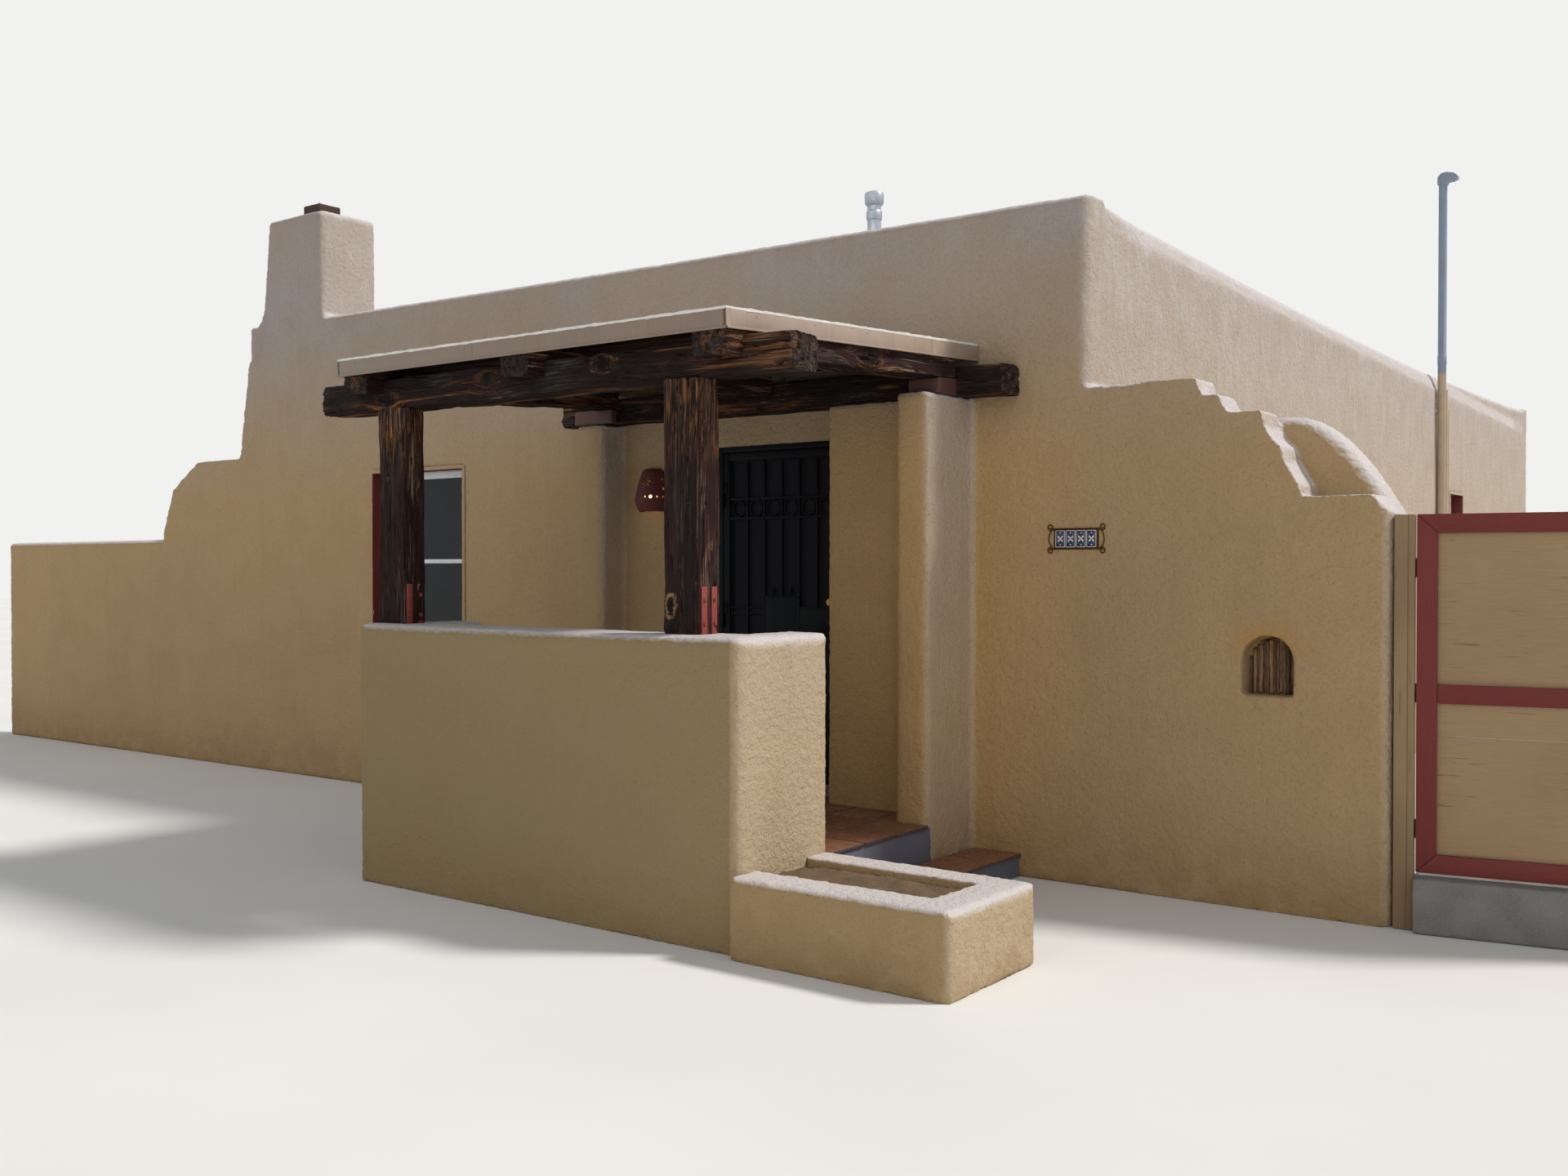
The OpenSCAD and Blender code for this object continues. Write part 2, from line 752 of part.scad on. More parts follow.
module porch_floor() {
    x0 = right_x - low_wall_left;
    y0 = return_y;
    color("#9a5b3c") difference() {
        translate([x0, y0, 0]) cube([step_x - x0, front_y - y0, porch_top]);
        translate([x0 - 1, y0 - 1, -1]) cube([return_t + 1, return_l + 1, porch_top + 2]);
        translate([right_x - low_wall_right - return_t, y0 - 1, -1])
            cube([return_t, return_l + 1, porch_top + 2]);
        translate([door_right, front_y - rear_beam_d, -1]) cube([house_w, rear_beam_d + 1, porch_top + 2]);
        translate([right_x - right_pier_x - right_pier_w, front_y - right_pier_d, -1])
            cube([right_pier_w + 1, right_pier_d + 1, porch_top + 2]);
    }
}

module lower_step() {
    l = low_wall_y - low_wall_t - return_l;
    color("#9a5b3c") translate([step_x, front_y - l, 0]) cube([step_w, l, step_top]);
}

module planter() {
    e = planter_edge;
    corner = 50;
    y0 = front_y - low_wall_y - planter_out;
    color("#c4a77d") translate([right_x - low_wall_right, y0, 0]) difference() {
        stucco_block([planter_w, planter_d, planter_top], [0, e, e, e], [0, corner, corner, 0]);
        translate([-1, planter_rim, planter_top - planter_recess])
            cube([planter_w - planter_rim + 1, planter_d - 2 * planter_rim, planter_recess + 1]);
    }
}

module porch_wall_front() {
    color("#c4a77d") translate([right_x - low_wall_left, front_y - low_wall_y, 0])
        stucco_block([low_wall_left - low_wall_right, low_wall_t, low_wall_top],
            [for (k = [0:3]) low_wall_edge], [low_wall_corner, low_wall_corner, 0, 0]);
}

// Return of the low wall, from the front stretch toward the house
module porch_return(x) {
    color("#c4a77d") translate([x, return_y, 0])
        stucco_block([return_t, return_l, low_wall_top], [low_wall_edge, low_wall_edge, 0, low_wall_edge],
            [0, 0, low_wall_corner, low_wall_corner]);
}

module porch_wall_right() {
    porch_return(right_x - low_wall_right - return_t);
}

module porch_wall_left() {
    porch_return(right_x - low_wall_left);
}

// Section of a squared timber with worn edges
module worn_section(w, h) {
    offset(r = timber_r, $fn = 16) offset(delta = -timber_r) square([w, h]);
}

// Squared timber of length l along X
module worn_beam(l, w, h) {
    rotate([90, 0, 90]) linear_extrude(l) worn_section(w, h);
}

// Porch post, from the low wall's top to the front beam's underside
module porch_post(x) {
    color("#3a2a22") translate([x, post_y, low_wall_top]) linear_extrude(front_beam_z - low_wall_top)
        worn_section(post_w, post_d);
}

module post_left() {
    porch_post(right_x - left_post_x);
}

module post_right() {
    porch_post(right_x - right_post_x - post_w);
}

module post_straps() {
    strap_w = 38;
    strap_t = 6;
    margin = 18;
    color("#a0403c") for (x = [right_x - left_post_x + post_w, right_x - right_post_x])
        for (y = [post_y + margin, post_y + post_d - margin - strap_w])
            translate([x, y, low_wall_top]) cube([strap_t, strap_w, strap_h]);
}

// Side profile of a joist, from its front end up to the rear beam
module joist_profile() {
    polygon([
        [joist_y0, joist_z0],
        [joist_y1, joist_z1],
        [joist_y1, joist_z1 + joist_h],
        [joist_y0, joist_z0 + joist_h]
    ]);
}

module joist_row() {
    for (i = [0:2])
        translate([joist_right_x - i * joist_pitch, 0, 0]) rotate([90, 0, 90]) linear_extrude(joist_w)
            joist_profile();
}

module joists() {
    color("#3a2a22") joist_row();
}

module front_beam() {
    color("#3a2a22") difference() {
        translate([right_x - beam_left, beam_y, front_beam_z])
            worn_beam(beam_left - beam_right, front_beam_d, front_beam_h);
        joist_row();
    }
}

module rear_beam() {
    color("#3a2a22") translate([right_x - beam_left, front_y - rear_beam_d, pier_top])
        worn_beam(beam_left - beam_right, rear_beam_d, rear_beam_h);
}

// Red block or cleat of width w and depth d in front of the rear beam, just clear of a joist's sloping end
module spacer(x, w, d) {
    translate([x, 0, 0]) rotate([90, 0, 90]) linear_extrude(w) polygon([
        [joist_y1 - d, pier_top],
        [joist_y1, pier_top],
        [joist_y1, joist_z1 - seat_gap],
        [joist_y1 - d, joist_z1 - rise * d - seat_gap]
    ]);
}

module spacer_blocks() {
    block_d = 190;
    cleat = [340, 50];
    cleat_out = 180;
    color("#8a4038") {
        spacer(roof_edge_right - joist_w, joist_w - 5, block_d);
        spacer(roof_edge_left - cleat_out, cleat[0], cleat[1]);
    }
}

// Sloping slab of the porch roof, from y0 to the wall, with its underside drop below the deck's
module roof_slab(x0, x1, y0, drop, top) {
    z0 = deck_z0 + rise * (y0 - joist_y0);
    z1 = deck_z0 + rise * (front_y - joist_y0);
    translate([x0, 0, 0]) rotate([90, 0, 90]) linear_extrude(x1 - x0)
        polygon([[y0, z0 - drop], [front_y, z1 - drop], [front_y, z1 + top], [y0, z0 + top]]);
}

module porch_roof() {
    color("#b9a48e") roof_slab(roof_edge_left, roof_edge_right, joist_y0, 0, deck_t);
}

module porch_fascia() {
    color("#c9ae97") difference() {
        roof_slab(roof_edge_left - fascia_t, roof_edge_right + fascia_t, joist_y0 - fascia_t,
            fascia_h - deck_t, deck_t);
        translate([roof_edge_left, joist_y0, 0])
            cube([roof_edge_right - roof_edge_left, house_d, parapet_top]);
    }
}

module door_sill() {
    color("#8f8a80") translate([door_left, front_y, 0]) cube([door_w, wall_t, sill_top]);
}

module door_frame() {
    stop_w = jamb_w + leaf_gap + stop_d;
    stop_y = leaf_y + leaf_t + leaf_gap;
    h = door_head - sill_top;
    color("#15181c") {
        translate([door_left, 0, sill_top]) difference() {
            translate([0, front_y, 0]) cube([door_w, stop_y + stop_d - front_y, h]);
            translate([jamb_w, front_y - 1, -1])
                cube([door_w - 2 * jamb_w, stop_y - front_y + 1, h - jamb_w + 1]);
            translate([stop_w, front_y - 1, -1]) cube([door_w - 2 * stop_w, wall_t, h - stop_w + 1]);
        }
        translate([leaf_x, leaf_y, leaf_z]) for (z = door_hinges)
            door_knuckle(z - door_knuckle_h - knuckle_gap, -1);
    }
}

// Steel leaf: a frame with a screen at its rear, upright bars, a row of rings between two cross bars,
// a kick panel between the second and fourth bars, a lock box on its right and two short frets on its left.
// Distances in y are from the leaf's front face, and what lies before the screen reaches back to it.
module security_door() {
    inner_w = leaf_w - 2 * stile_w;
    inner_h = leaf_h - 2 * stile_w;
    bars = 5;
    pitch = inner_w / (bars + 1);
    low_bar = cross_bar_z - leaf_z;
    kick = kick_top - leaf_z;
    screen_y = leaf_t - 8;
    panel_y = 4;
    bar_y = 6;
    fret_y = 8;
    ring_t = 12;
    ring_w = 12;
    ring_d = cross_bar_gap - bar_w + 2;
    spear_y = screen_y - 10;
    lock_h = 165;
    lock_drop = 230;
    fret_drops = [75, 115];
    fret_h = 8;
    color("#101318") translate([leaf_x, leaf_y, leaf_z]) {
        difference() {
            cube([leaf_w, leaf_t, leaf_h]);
            translate([stile_w, -1, stile_w]) cube([inner_w, leaf_t + 2, inner_h]);
        }
        translate([stile_w, screen_y, stile_w]) cube([inner_w, 2, inner_h]);
        for (i = [1:bars])
            translate([stile_w + pitch * i - bar_w / 2, bar_y, stile_w])
                cube([bar_w, screen_y - bar_y, inner_h]);
        for (z = [low_bar, low_bar + cross_bar_gap])
            translate([stile_w, panel_y, z]) cube([inner_w, bar_w, bar_w]);
        for (i = [0:bars])
            translate([stile_w + pitch * (i + 0.5), fret_y, low_bar + (cross_bar_gap + bar_w) / 2])
                rotate([-90, 0, 0]) difference() {
                    cylinder(h = ring_t, d = ring_d);
                    translate([0, 0, -1]) cylinder(h = ring_t + 2, d = ring_d - 2 * ring_w);
                }
        translate([stile_w + 2 * pitch, panel_y, stile_w])
            cube([2 * pitch, screen_y - panel_y, kick - stile_w]);
        for (i = [2.5, 3.5]) translate([stile_w + pitch * i, spear_y, kick - 1]) spear();
        translate([stile_w + 4 * pitch, panel_y, kick - lock_drop])
            cube([2 * pitch, screen_y - panel_y, lock_h]);
        for (drop = fret_drops)
            translate([stile_w, fret_y, kick - drop]) cube([2 * pitch, screen_y - fret_y, fret_h]);
        for (z = door_hinges) door_knuckle(z, 1);
    }
}

// Small spear that stands on the door's kick panel
module spear() {
    rotate_extrude($fn = 16) polygon([[0, 0], [5, 0], [5, 18], [11, 30], [7, 48], [0, 68]]);
}

// One hinge knuckle and its plate, on the leaf (side 1) or on the jamb (side -1), in the leaf's frame
module door_knuckle(z, side) {
    translate([-leaf_gap / 2, door_pin_y - leaf_y, z]) {
        cylinder(h = door_knuckle_h, r = door_pin_r);
        translate([side > 0 ? 0 : -jamb_w, leaf_y - door_pin_y - hinge_plate_t, 0])
            cube([jamb_w, side > 0 ? hinge_plate_t : hinge_plate_t + front_y - leaf_y, door_knuckle_h]);
    }
}

module door_knob() {
    rose = [56, 8];
    neck = [22, 45];
    grip = [50, 22];
    backset = stile_w / 2 + 20;
    color("#8c7a4a") translate([leaf_x + leaf_w - backset, leaf_y, knob_z]) rotate([90, 0, 0]) {
        cylinder(h = rose[1], d = rose[0]);
        cylinder(h = neck[1], d = neck[0]);
        translate([0, 0, neck[1] - 5]) cylinder(h = grip[1], d = grip[0]);
    }
}

// Casing boards that line an opening of width w and height h, outer face at y = 0
module casing(w, h) {
    d = window_recess + frame_d;
    difference() {
        cube([w, d, h]);
        translate([casing_t, -1, casing_t]) cube([w - 2 * casing_t, d + 2, h - 2 * casing_t]);
    }
}

// Rectangular frame of depth d in the XZ plane, with members t wide
module framing(w, h, t, d) {
    difference() {
        cube([w, d, h]);
        translate([t, -1, t]) cube([w - 2 * t, d + 2, h - 2 * t]);
    }
}

// Places children, made for a sash of height h, as the upper sash outside and the lower sash inside a frame
module at_sashes(w, h) {
    x = casing_t + rim_w;
    mid_y = window_recess + frame_d / 2;
    translate([x, mid_y - sash_d - 1, h / 2 - sash_overlap]) children();
    translate([x, mid_y + 1, casing_t + rim_w]) children();
}

// White window frame with its two sashes, inside the casing
module window_frame(w, h) {
    translate([casing_t, window_recess, casing_t])
        framing(w - 2 * casing_t, h - 2 * casing_t, rim_w, frame_d);
    at_sashes(w, h) framing(w - 2 * casing_t - 2 * rim_w, sash_h(h), frame_w - rim_w, sash_d);
}

// The two panes of a window, seated in its sashes
module window_panes(w, h) {
    member = frame_w - rim_w;
    at_sashes(w, h) translate([member, (sash_d - glass_t) / 2, member])
        cube([w - 2 * casing_t - 2 * frame_w, glass_t, sash_h(h) - 2 * member]);
}

// Places a window's pieces in their wall: front, rear, right or left
module at_front() {
    translate([left_x + front_window_x, front_y, window_sill]) children();
}

module at_rear() {
    translate([front_window_w / 2, rear_y, window_sill]) rotate(180) children();
}

module at_right() {
    translate([right_x, front_y + side_window_y, side_sill]) rotate(90) children();
}

module at_left() {
    translate([left_x, front_y + side_window_y + side_window_w, side_sill]) rotate(270) children();
}

module window_casings() {
    color("#7a2e2a") {
        at_front() casing(front_window_w, front_window_h);
        at_rear() casing(front_window_w, front_window_h);
        at_right() casing(side_window_w, side_window_h);
        at_left() casing(side_window_w, side_window_h);
    }
}

module window_frames() {
    color("#d8dae0") {
        at_front() window_frame(front_window_w, front_window_h);
        at_rear() window_frame(front_window_w, front_window_h);
        at_right() window_frame(side_window_w, side_window_h);
        at_left() window_frame(side_window_w, side_window_h);
    }
}

module front_window_glass() {
    color("#5a6672") at_front() window_panes(front_window_w, front_window_h);
}

module right_window_glass() {
    color("#5a6672") at_right() window_panes(side_window_w, side_window_h);
}

module left_window_glass() {
    color("#5a6672") at_left() window_panes(side_window_w, side_window_h);
}

module rear_window_glass() {
    color("#5a6672") at_rear() window_panes(front_window_w, front_window_h);
}

// Half-round terracotta lamp on the wall beside the door, open at the bottom.
// Each pair of its outer profile is a share of the greatest radius and of the height.
module wall_lamp() {
    shell = 10;
    shares = [
        [0.8, 0], [0.93, 0.1], [1, 0.24], [0.98, 0.34],
        [0.88, 0.56], [0.77, 0.76], [0.68, 0.93], [0.6, 1]
    ];
    outer = [for (s = shares) [lamp_r * s[0], lamp_h * s[1]]];
    inner = [for (i = [len(outer) - 1:-1:0]) [outer[i][0] - shell, min(outer[i][1], lamp_h - shell)]];
    color("#6e3630") translate([right_x - lamp_x, front_y, lamp_z]) rotate([0, 0, 180])
        rotate_extrude(angle = 180) polygon(concat(outer, [[0, lamp_h], [0, lamp_h - shell]], inner));
}

// Iron plate for four tiles, with a bow and two scrolls at each end
module number_plaque() {
    plate_t = 8;
    iron_w = 7;
    iron_t = 6;
    bow_out = 34;
    bow_r = (pow(plaque_h / 2, 2) + pow(bow_out, 2)) / (2 * bow_out);
    scroll_r = 22;
    scroll = [20, plaque_h / 2 + 6];
    mouth = [12, 28];
    color("#5a4023") translate([right_x - plaque_x, front_y, plaque_z]) rotate([90, 0, 0]) {
        translate([-plaque_w / 2, -plaque_h / 2, 0]) cube([plaque_w, plaque_h, plate_t]);
        for (side = [0, 180]) rotate(side) translate([plaque_w / 2, 0, 0]) {
            linear_extrude(iron_t) intersection() {
                translate([bow_out - bow_r, 0]) band(bow_r, iron_w);
                translate([-iron_w, -plaque_h / 2]) square([2 * bow_out, plaque_h]);
            }
            for (end = [0, 1]) mirror([0, end]) translate(scroll) linear_extrude(iron_t) difference() {
                band(scroll_r, iron_w);
                rotate(20) translate([0, -mouth[1] - 2]) square(mouth);
            }
        }
    }
}

// Flat ring of outer radius r and width w
module band(r, w) {
    difference() {
        circle(r);
        circle(r - w);
    }
}

// The gate's own frame: x runs along the gate's line, y points back
module at_gate() {
    translate([gate_x, gate_y, 0]) rotate(gate_skew) children();
}

module gate_hinge_post() {
    color("#b79a6c") at_gate() cube([gate_post_w, gate_post_d, gate_z + gate_h]);
}

module gate_latch_post() {
    color("#b79a6c") at_gate() translate([gate_leaf_x + gate_w + gate_gap, 0, 0])
        cube([gate_post_w, gate_post_d, gate_z + gate_h]);
}

module gate_sill() {
    set_back = 20;
    color("#7c7f86") at_gate() translate([gate_post_w, (gate_board_t - gate_sill_d) / 2 + set_back, 0])
        cube([gate_w + 2 * gate_gap, gate_sill_d, gate_sill_top]);
}

// One knuckle of a gate hinge, centred on the pin at the leaf's rear, in the gate's frame
module gate_knuckle(z) {
    translate([gate_pin_x, gate_pin_y, z]) cylinder(h = gate_knuckle_h, r = gate_pin_r);
}

// Boards round the gate and across its middle, with a field open at each side of the middle rail
module gate_frame() {
    b = gate_board_w;
    color("#7a2e2a") at_gate() translate([gate_leaf_x, 0, gate_z]) difference() {
        cube([gate_w, gate_board_t, gate_h]);
        for (field = [[b, gate_rail_z], [gate_rail_z + b, gate_h - b]])
            translate([b, -1, field[0]]) cube([gate_w - 2 * b, gate_board_t + 2, field[1] - field[0]]);
    }
}

// Plywood behind the frame boards, with the leaf's half of each hinge on its rear
module gate_panels() {
    rear = gate_board_t + gate_ply_t;
    color("#b79a6c") at_gate() {
        translate([gate_leaf_x, gate_board_t, gate_z]) cube([gate_w, gate_ply_t, gate_h]);
        for (z = gate_hinge_z) {
            gate_knuckle(z);
            translate([gate_pin_x, rear, z]) cube([gate_strap_l, gate_plate_t, gate_knuckle_h]);
        }
    }
}

// The post's half of each hinge, with its plate on the post's side
module gate_hinges() {
    color("#5a2a26") at_gate() for (z = gate_hinge_z) {
        gate_knuckle(z - gate_knuckle_h - knuckle_gap);
        translate([gate_post_w, gate_pin_y - gate_pin_r / 2, z - gate_knuckle_h - knuckle_gap])
            cube([gate_plate_t, gate_post_d - gate_pin_y - gate_pin_r / 2, gate_knuckle_h]);
    }
}

floor_slab();
front_wall_left();
front_wall_right();
wall_over_door();
right_wall();
left_wall();
rear_wall();
roof_deck();
chimney();
chimney_flue();
roof_vent();
service_mast();
wall_conduits();
right_wing_wall();
curved_wing_wall();
niche_sticks();
left_wing_wall();
garden_wall();
left_pier();
right_pier();
entry_side_wall();
porch_floor();
lower_step();
planter();
porch_wall_front();
porch_wall_right();
porch_wall_left();
post_left();
post_right();
post_straps();
front_beam();
rear_beam();
joists();
spacer_blocks();
porch_roof();
porch_fascia();
door_sill();
door_frame();
security_door();
door_knob();
window_casings();
window_frames();
front_window_glass();
right_window_glass();
left_window_glass();
rear_window_glass();
wall_lamp();
number_plaque();
gate_hinge_post();
gate_latch_post();
gate_sill();
gate_frame();
gate_panels();
gate_hinges();
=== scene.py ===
"""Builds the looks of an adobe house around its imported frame: stucco, timber, tiles, windows, door and gate."""

import functools
import json
import math
import random

import bmesh
import bpy
import numpy
from bpy.props import FloatProperty, FloatVectorProperty, PointerProperty
from mathutils import Matrix, Vector

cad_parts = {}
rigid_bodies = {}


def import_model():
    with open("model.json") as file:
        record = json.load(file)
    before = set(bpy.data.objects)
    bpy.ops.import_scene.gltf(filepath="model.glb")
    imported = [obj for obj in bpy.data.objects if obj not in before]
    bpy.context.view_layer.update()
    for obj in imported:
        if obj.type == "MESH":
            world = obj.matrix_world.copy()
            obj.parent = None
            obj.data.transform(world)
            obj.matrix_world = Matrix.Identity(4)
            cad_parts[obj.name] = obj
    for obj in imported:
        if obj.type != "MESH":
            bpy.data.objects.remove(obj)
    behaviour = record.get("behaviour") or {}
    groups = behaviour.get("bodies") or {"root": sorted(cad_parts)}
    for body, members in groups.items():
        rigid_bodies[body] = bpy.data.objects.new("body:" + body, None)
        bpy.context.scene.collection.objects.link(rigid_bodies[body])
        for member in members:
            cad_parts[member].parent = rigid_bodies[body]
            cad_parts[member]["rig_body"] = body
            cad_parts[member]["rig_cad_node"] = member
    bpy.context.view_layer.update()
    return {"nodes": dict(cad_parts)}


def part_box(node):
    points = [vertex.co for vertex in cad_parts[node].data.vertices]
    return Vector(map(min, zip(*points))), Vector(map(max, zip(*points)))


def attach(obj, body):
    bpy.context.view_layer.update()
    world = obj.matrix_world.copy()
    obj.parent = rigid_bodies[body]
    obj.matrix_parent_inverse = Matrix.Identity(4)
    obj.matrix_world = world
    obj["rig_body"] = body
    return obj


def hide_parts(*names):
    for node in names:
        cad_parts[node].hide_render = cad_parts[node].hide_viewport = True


bl_info = {
    "name": "Adobe House",
    "version": (1, 0, 0),
    "blender": (4, 5, 0),
    "location": "View3D > Sidebar > Adobe House",
    "description": "Builds an adobe house with a timber portal, wing walls and a side gate",
    "category": "Add Mesh",
}

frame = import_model()

# Faces of the main block, in metres
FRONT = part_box("front_wall_left")[0].y
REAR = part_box("rear_wall")[1].y
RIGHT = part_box("right_wall")[1].x
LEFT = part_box("left_wall")[0].x
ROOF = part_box("roof_deck")[1].z
ROOF_SLOPE = math.atan(0.0475)
GATE_SKEW = math.radians(9)


def linear(code):
    """Turns an sRGB hex colour into linear red, green, blue and alpha."""
    parts = [int(code[i:i + 2], 16) / 255 for i in (1, 3, 5)]
    return tuple(c / 12.92 if c <= 0.04045 else ((c + 0.055) / 1.055) ** 2.4 for c in parts) + (1.0,)


def colour(name, description, code):
    """A colour setting, given as an sRGB hex value."""
    return FloatVectorProperty(name=name, description=description, subtype="COLOR", size=4, min=0, max=1,
                               default=linear(code))


def length(name, description, default, low, high):
    """A size setting in metres."""
    return FloatProperty(name=name, description=description, unit="LENGTH", default=default, min=low, max=high,
                         precision=4)


# Settings that a user would change

class StuccoSettings(bpy.types.PropertyGroup):
    """Stuccoed adobe."""
    paint: colour("Paint", "Elastomeric wall paint over the stucco", "#B59A72")
    # Also drawn on the faces toward the key light, there partly as painted sunlight
    bleached: colour("Bleached paint", "Paint where the sun has bleached it", "#C7B497")
    # Drawn only on the faces toward the key light, with the bleached paint, partly as painted sunlight
    faded: colour("Faded paint", "Paint high up, where sun and rain have greyed it", "#BFB3AA")
    # Chalky paint, also drawn near white on tops that face the sky, as a painted highlight
    chalk_and_highlight: colour("Chalky paint", "Paint on tops that face the sky", "#DCD5D5")
    # Also drawn low on the walls, there as painted warm light bounced from the ground
    stained: colour("Stained paint", "Paint where dust and water have stained it", "#97784F")
    voxel: length("Detail", "Size of the finest shape left in the plaster", 0.018, 0.012, 0.08)
    shoulder: length("Shoulder", "How far the side walls' parapets lean in above their shoulder", 0.045, 0, 0.08)
    waviness: length("Waviness", "Depth of the hand-made waves in the walls", 0.009, 0, 0.03)
    grit: length("Grit", "Size of the float finish's sand grains, drawn coarse enough to show", 0.012, 0.002, 0.03)
    teeth: length("Teeth", "Depth of the crumbs that the trowel leaves along an arris", 0.016, 0, 0.03)


class TimberSettings(bpy.types.PropertyGroup):
    """Old stained timbers of the portal."""
    stain: colour("Stain", "Nearly black weathered stain", "#241B18")
    worn: colour("Worn wood", "Bare brown wood where the stain has gone", "#8C5F3B")
    # Also drawn on the faces toward the key light, as painted sunlight
    red: colour("Red stain", "Purple-red rest of the first stain", "#3B211E")
    silver: colour("Silvered wood", "Wood that the sun has turned grey", "#77726C")
    pitch: length("Detail", "Distance between the surface's points across the grain", 0.009, 0.005, 0.03)
    relief: length("Relief", "Depth of the weathered grain", 0.008, 0, 0.02)


class RoofSettings(bpy.types.PropertyGroup):
    """Porch roof, roof deck and what stands on it."""
    fascia: colour("Fascia", "Painted metal fascia", "#AC9889")
    coating: colour("Roof coating", "White rolled roof coating", "#E6E3DD")
    lip: length("Lip", "Height of the coating's ragged lip over the fascia", 0.012, 0.004, 0.02)
    board_w: length("Board width", "Width of a roof board under the deck", 0.14, 0.09, 0.2)


class FloorSettings(bpy.types.PropertyGroup):
    """Clay tiles of the porch and its step."""
    tile: length("Tile", "Side of a clay floor tile", 0.298, 0.2, 0.4)
    joint: length("Joint", "Width of the mortar joints", 0.012, 0.005, 0.025)
    clay: colour("Clay", "Sealed clay tile", "#865840")
    riser: colour("Riser", "Blue-grey painted riser", "#6C7080")


class JoinerySettings(bpy.types.PropertyGroup):
    """Windows, door and gate."""
    red_paint: colour("Red paint", "Brick red paint of the casings and the gate's boards", "#6E2622")
    vinyl: colour("Vinyl", "White window frames", "#DADCE0")
    steel: colour("Door steel", "Black enamelled security door", "#0C1015")
    panel: colour("Gate panel", "Painted plywood of the gate", "#9E8462")
    board_edge: length("Board edge", "Rounding of the painted boards' edges", 0.002, 0.0005, 0.006)


class FittingSettings(bpy.types.PropertyGroup):
    """Lamp, number plaque and niche."""
    clay: colour("Lamp clay", "Red-brown painted clay of the lamp", "#5C2D2B")
    iron: colour("Iron", "Rusted and lacquered iron of the plaque", "#5A4023")
    glaze: colour("Glaze", "Blue glaze of the plaque's tiles", "#1B2142")
    sticks: colour("Sticks", "Bare grey-brown sticks of the niche", "#745C4B")


# Small tools for modelling, each used by several pieces

def only(*pieces):
    """Selects these objects alone, with the first one active."""
    bpy.ops.object.select_all(action="DESELECT")
    for piece in pieces:
        piece.select_set(True)
    bpy.context.view_layer.objects.active = pieces[0]
    return pieces[0]


def apply_place(piece):
    """Moves a piece's place and turn into its mesh."""
    only(piece)
    bpy.ops.object.transform_apply(location=True, rotation=True, scale=True)
    return piece


def modifier(piece, kind, **settings):
    """Adds a modifier with its settings and applies it."""
    only(piece)
    added = piece.modifiers.new(kind.lower(), kind)
    for name, value in settings.items():
        setattr(added, name, value)
    bpy.ops.object.modifier_apply(modifier=added.name)
    return piece


def edit(piece, *steps):
    """Runs edit-mode steps, each one a function, on a piece."""
    only(piece)
    bpy.ops.object.mode_set(mode="EDIT")
    for step in steps:
        step()
    bpy.ops.object.mode_set(mode="OBJECT")
    return piece


def pick(kind, test):
    """Selects the edited mesh's faces, edges or vertices whose test holds."""
    mesh = bmesh.from_edit_mesh(bpy.context.object.data)
    bpy.ops.mesh.select_mode(type={"verts": "VERT", "edges": "EDGE", "faces": "FACE"}[kind])
    bpy.ops.mesh.select_all(action="DESELECT")
    for item in getattr(mesh, kind):
        item.select_set(bool(test(item)))
    mesh.select_flush_mode()
    bmesh.update_edit_mesh(bpy.context.object.data)


def everything():
    """Selects the whole edited mesh."""
    bpy.ops.mesh.select_all(action="SELECT")


def along(edge, axis):
    """Whether an edge runs along an axis."""
    run = edge.verts[1].co - edge.verts[0].co
    return abs(run[axis]) > 0.999 * run.length


def box(name, low, high, edge=0.0, segments=2):
    """Adds a box between two corners, with its edges rounded."""
    low, high = Vector(low), Vector(high)
    bpy.ops.object.select_all(action="DESELECT")
    bpy.ops.mesh.primitive_cube_add(size=1, location=(low + high) / 2)
    piece = bpy.context.object
    piece.name = name
    piece.scale = high - low
    apply_place(piece)
    if edge:
        modifier(piece, "BEVEL", width=edge, segments=segments, limit_method="ANGLE", use_clamp_overlap=True)
    return piece


def grid_box(name, low, high, pitch):
    """Adds a box between two corners, cut into cells of about the pitch along each axis."""
    piece = box(name, low, high)
    size = Vector(high) - Vector(low)

    def cut(axis):
        pick("edges", lambda e: along(e, axis))
        cuts = max(1, round(size[axis] / pitch[axis])) - 1
        if cuts:
            bpy.ops.mesh.subdivide(number_cuts=cuts)

    return edit(piece, lambda: cut(0), lambda: cut(1), lambda: cut(2))


def rod(name, start, end, radius, sides=16, end_radius=None):
    """Adds a round bar or cone between two points."""
    start, end = Vector(start), Vector(end)
    run = end - start
    bpy.ops.object.select_all(action="DESELECT")
    bpy.ops.mesh.primitive_cone_add(vertices=sides, radius1=radius, depth=run.length, location=(start + end) / 2,
                                    radius2=radius if end_radius is None else end_radius,
                                    rotation=run.to_track_quat("Z", "Y").to_euler())
    piece = bpy.context.object
    piece.name = name
    return apply_place(piece)


def ring(name, centre, major, minor, turn=(0, 0, 0), sides=(24, 8)):
    """Adds a round ring about a centre."""
    bpy.ops.object.select_all(action="DESELECT")
    bpy.ops.mesh.primitive_torus_add(major_radius=major, minor_radius=minor, major_segments=sides[0],
                                     minor_segments=sides[1], location=centre, rotation=turn)
    piece = bpy.context.object
    piece.name = name
    return apply_place(piece)


def sketch(name, points, edges=(), faces=()):
    """Adds a mesh from its points and the edges or faces between them."""
    mesh = bpy.data.meshes.new(name)
    mesh.from_pydata(points, edges, faces)
    piece = bpy.data.objects.new(name, mesh)
    bpy.context.collection.objects.link(piece)
    return piece


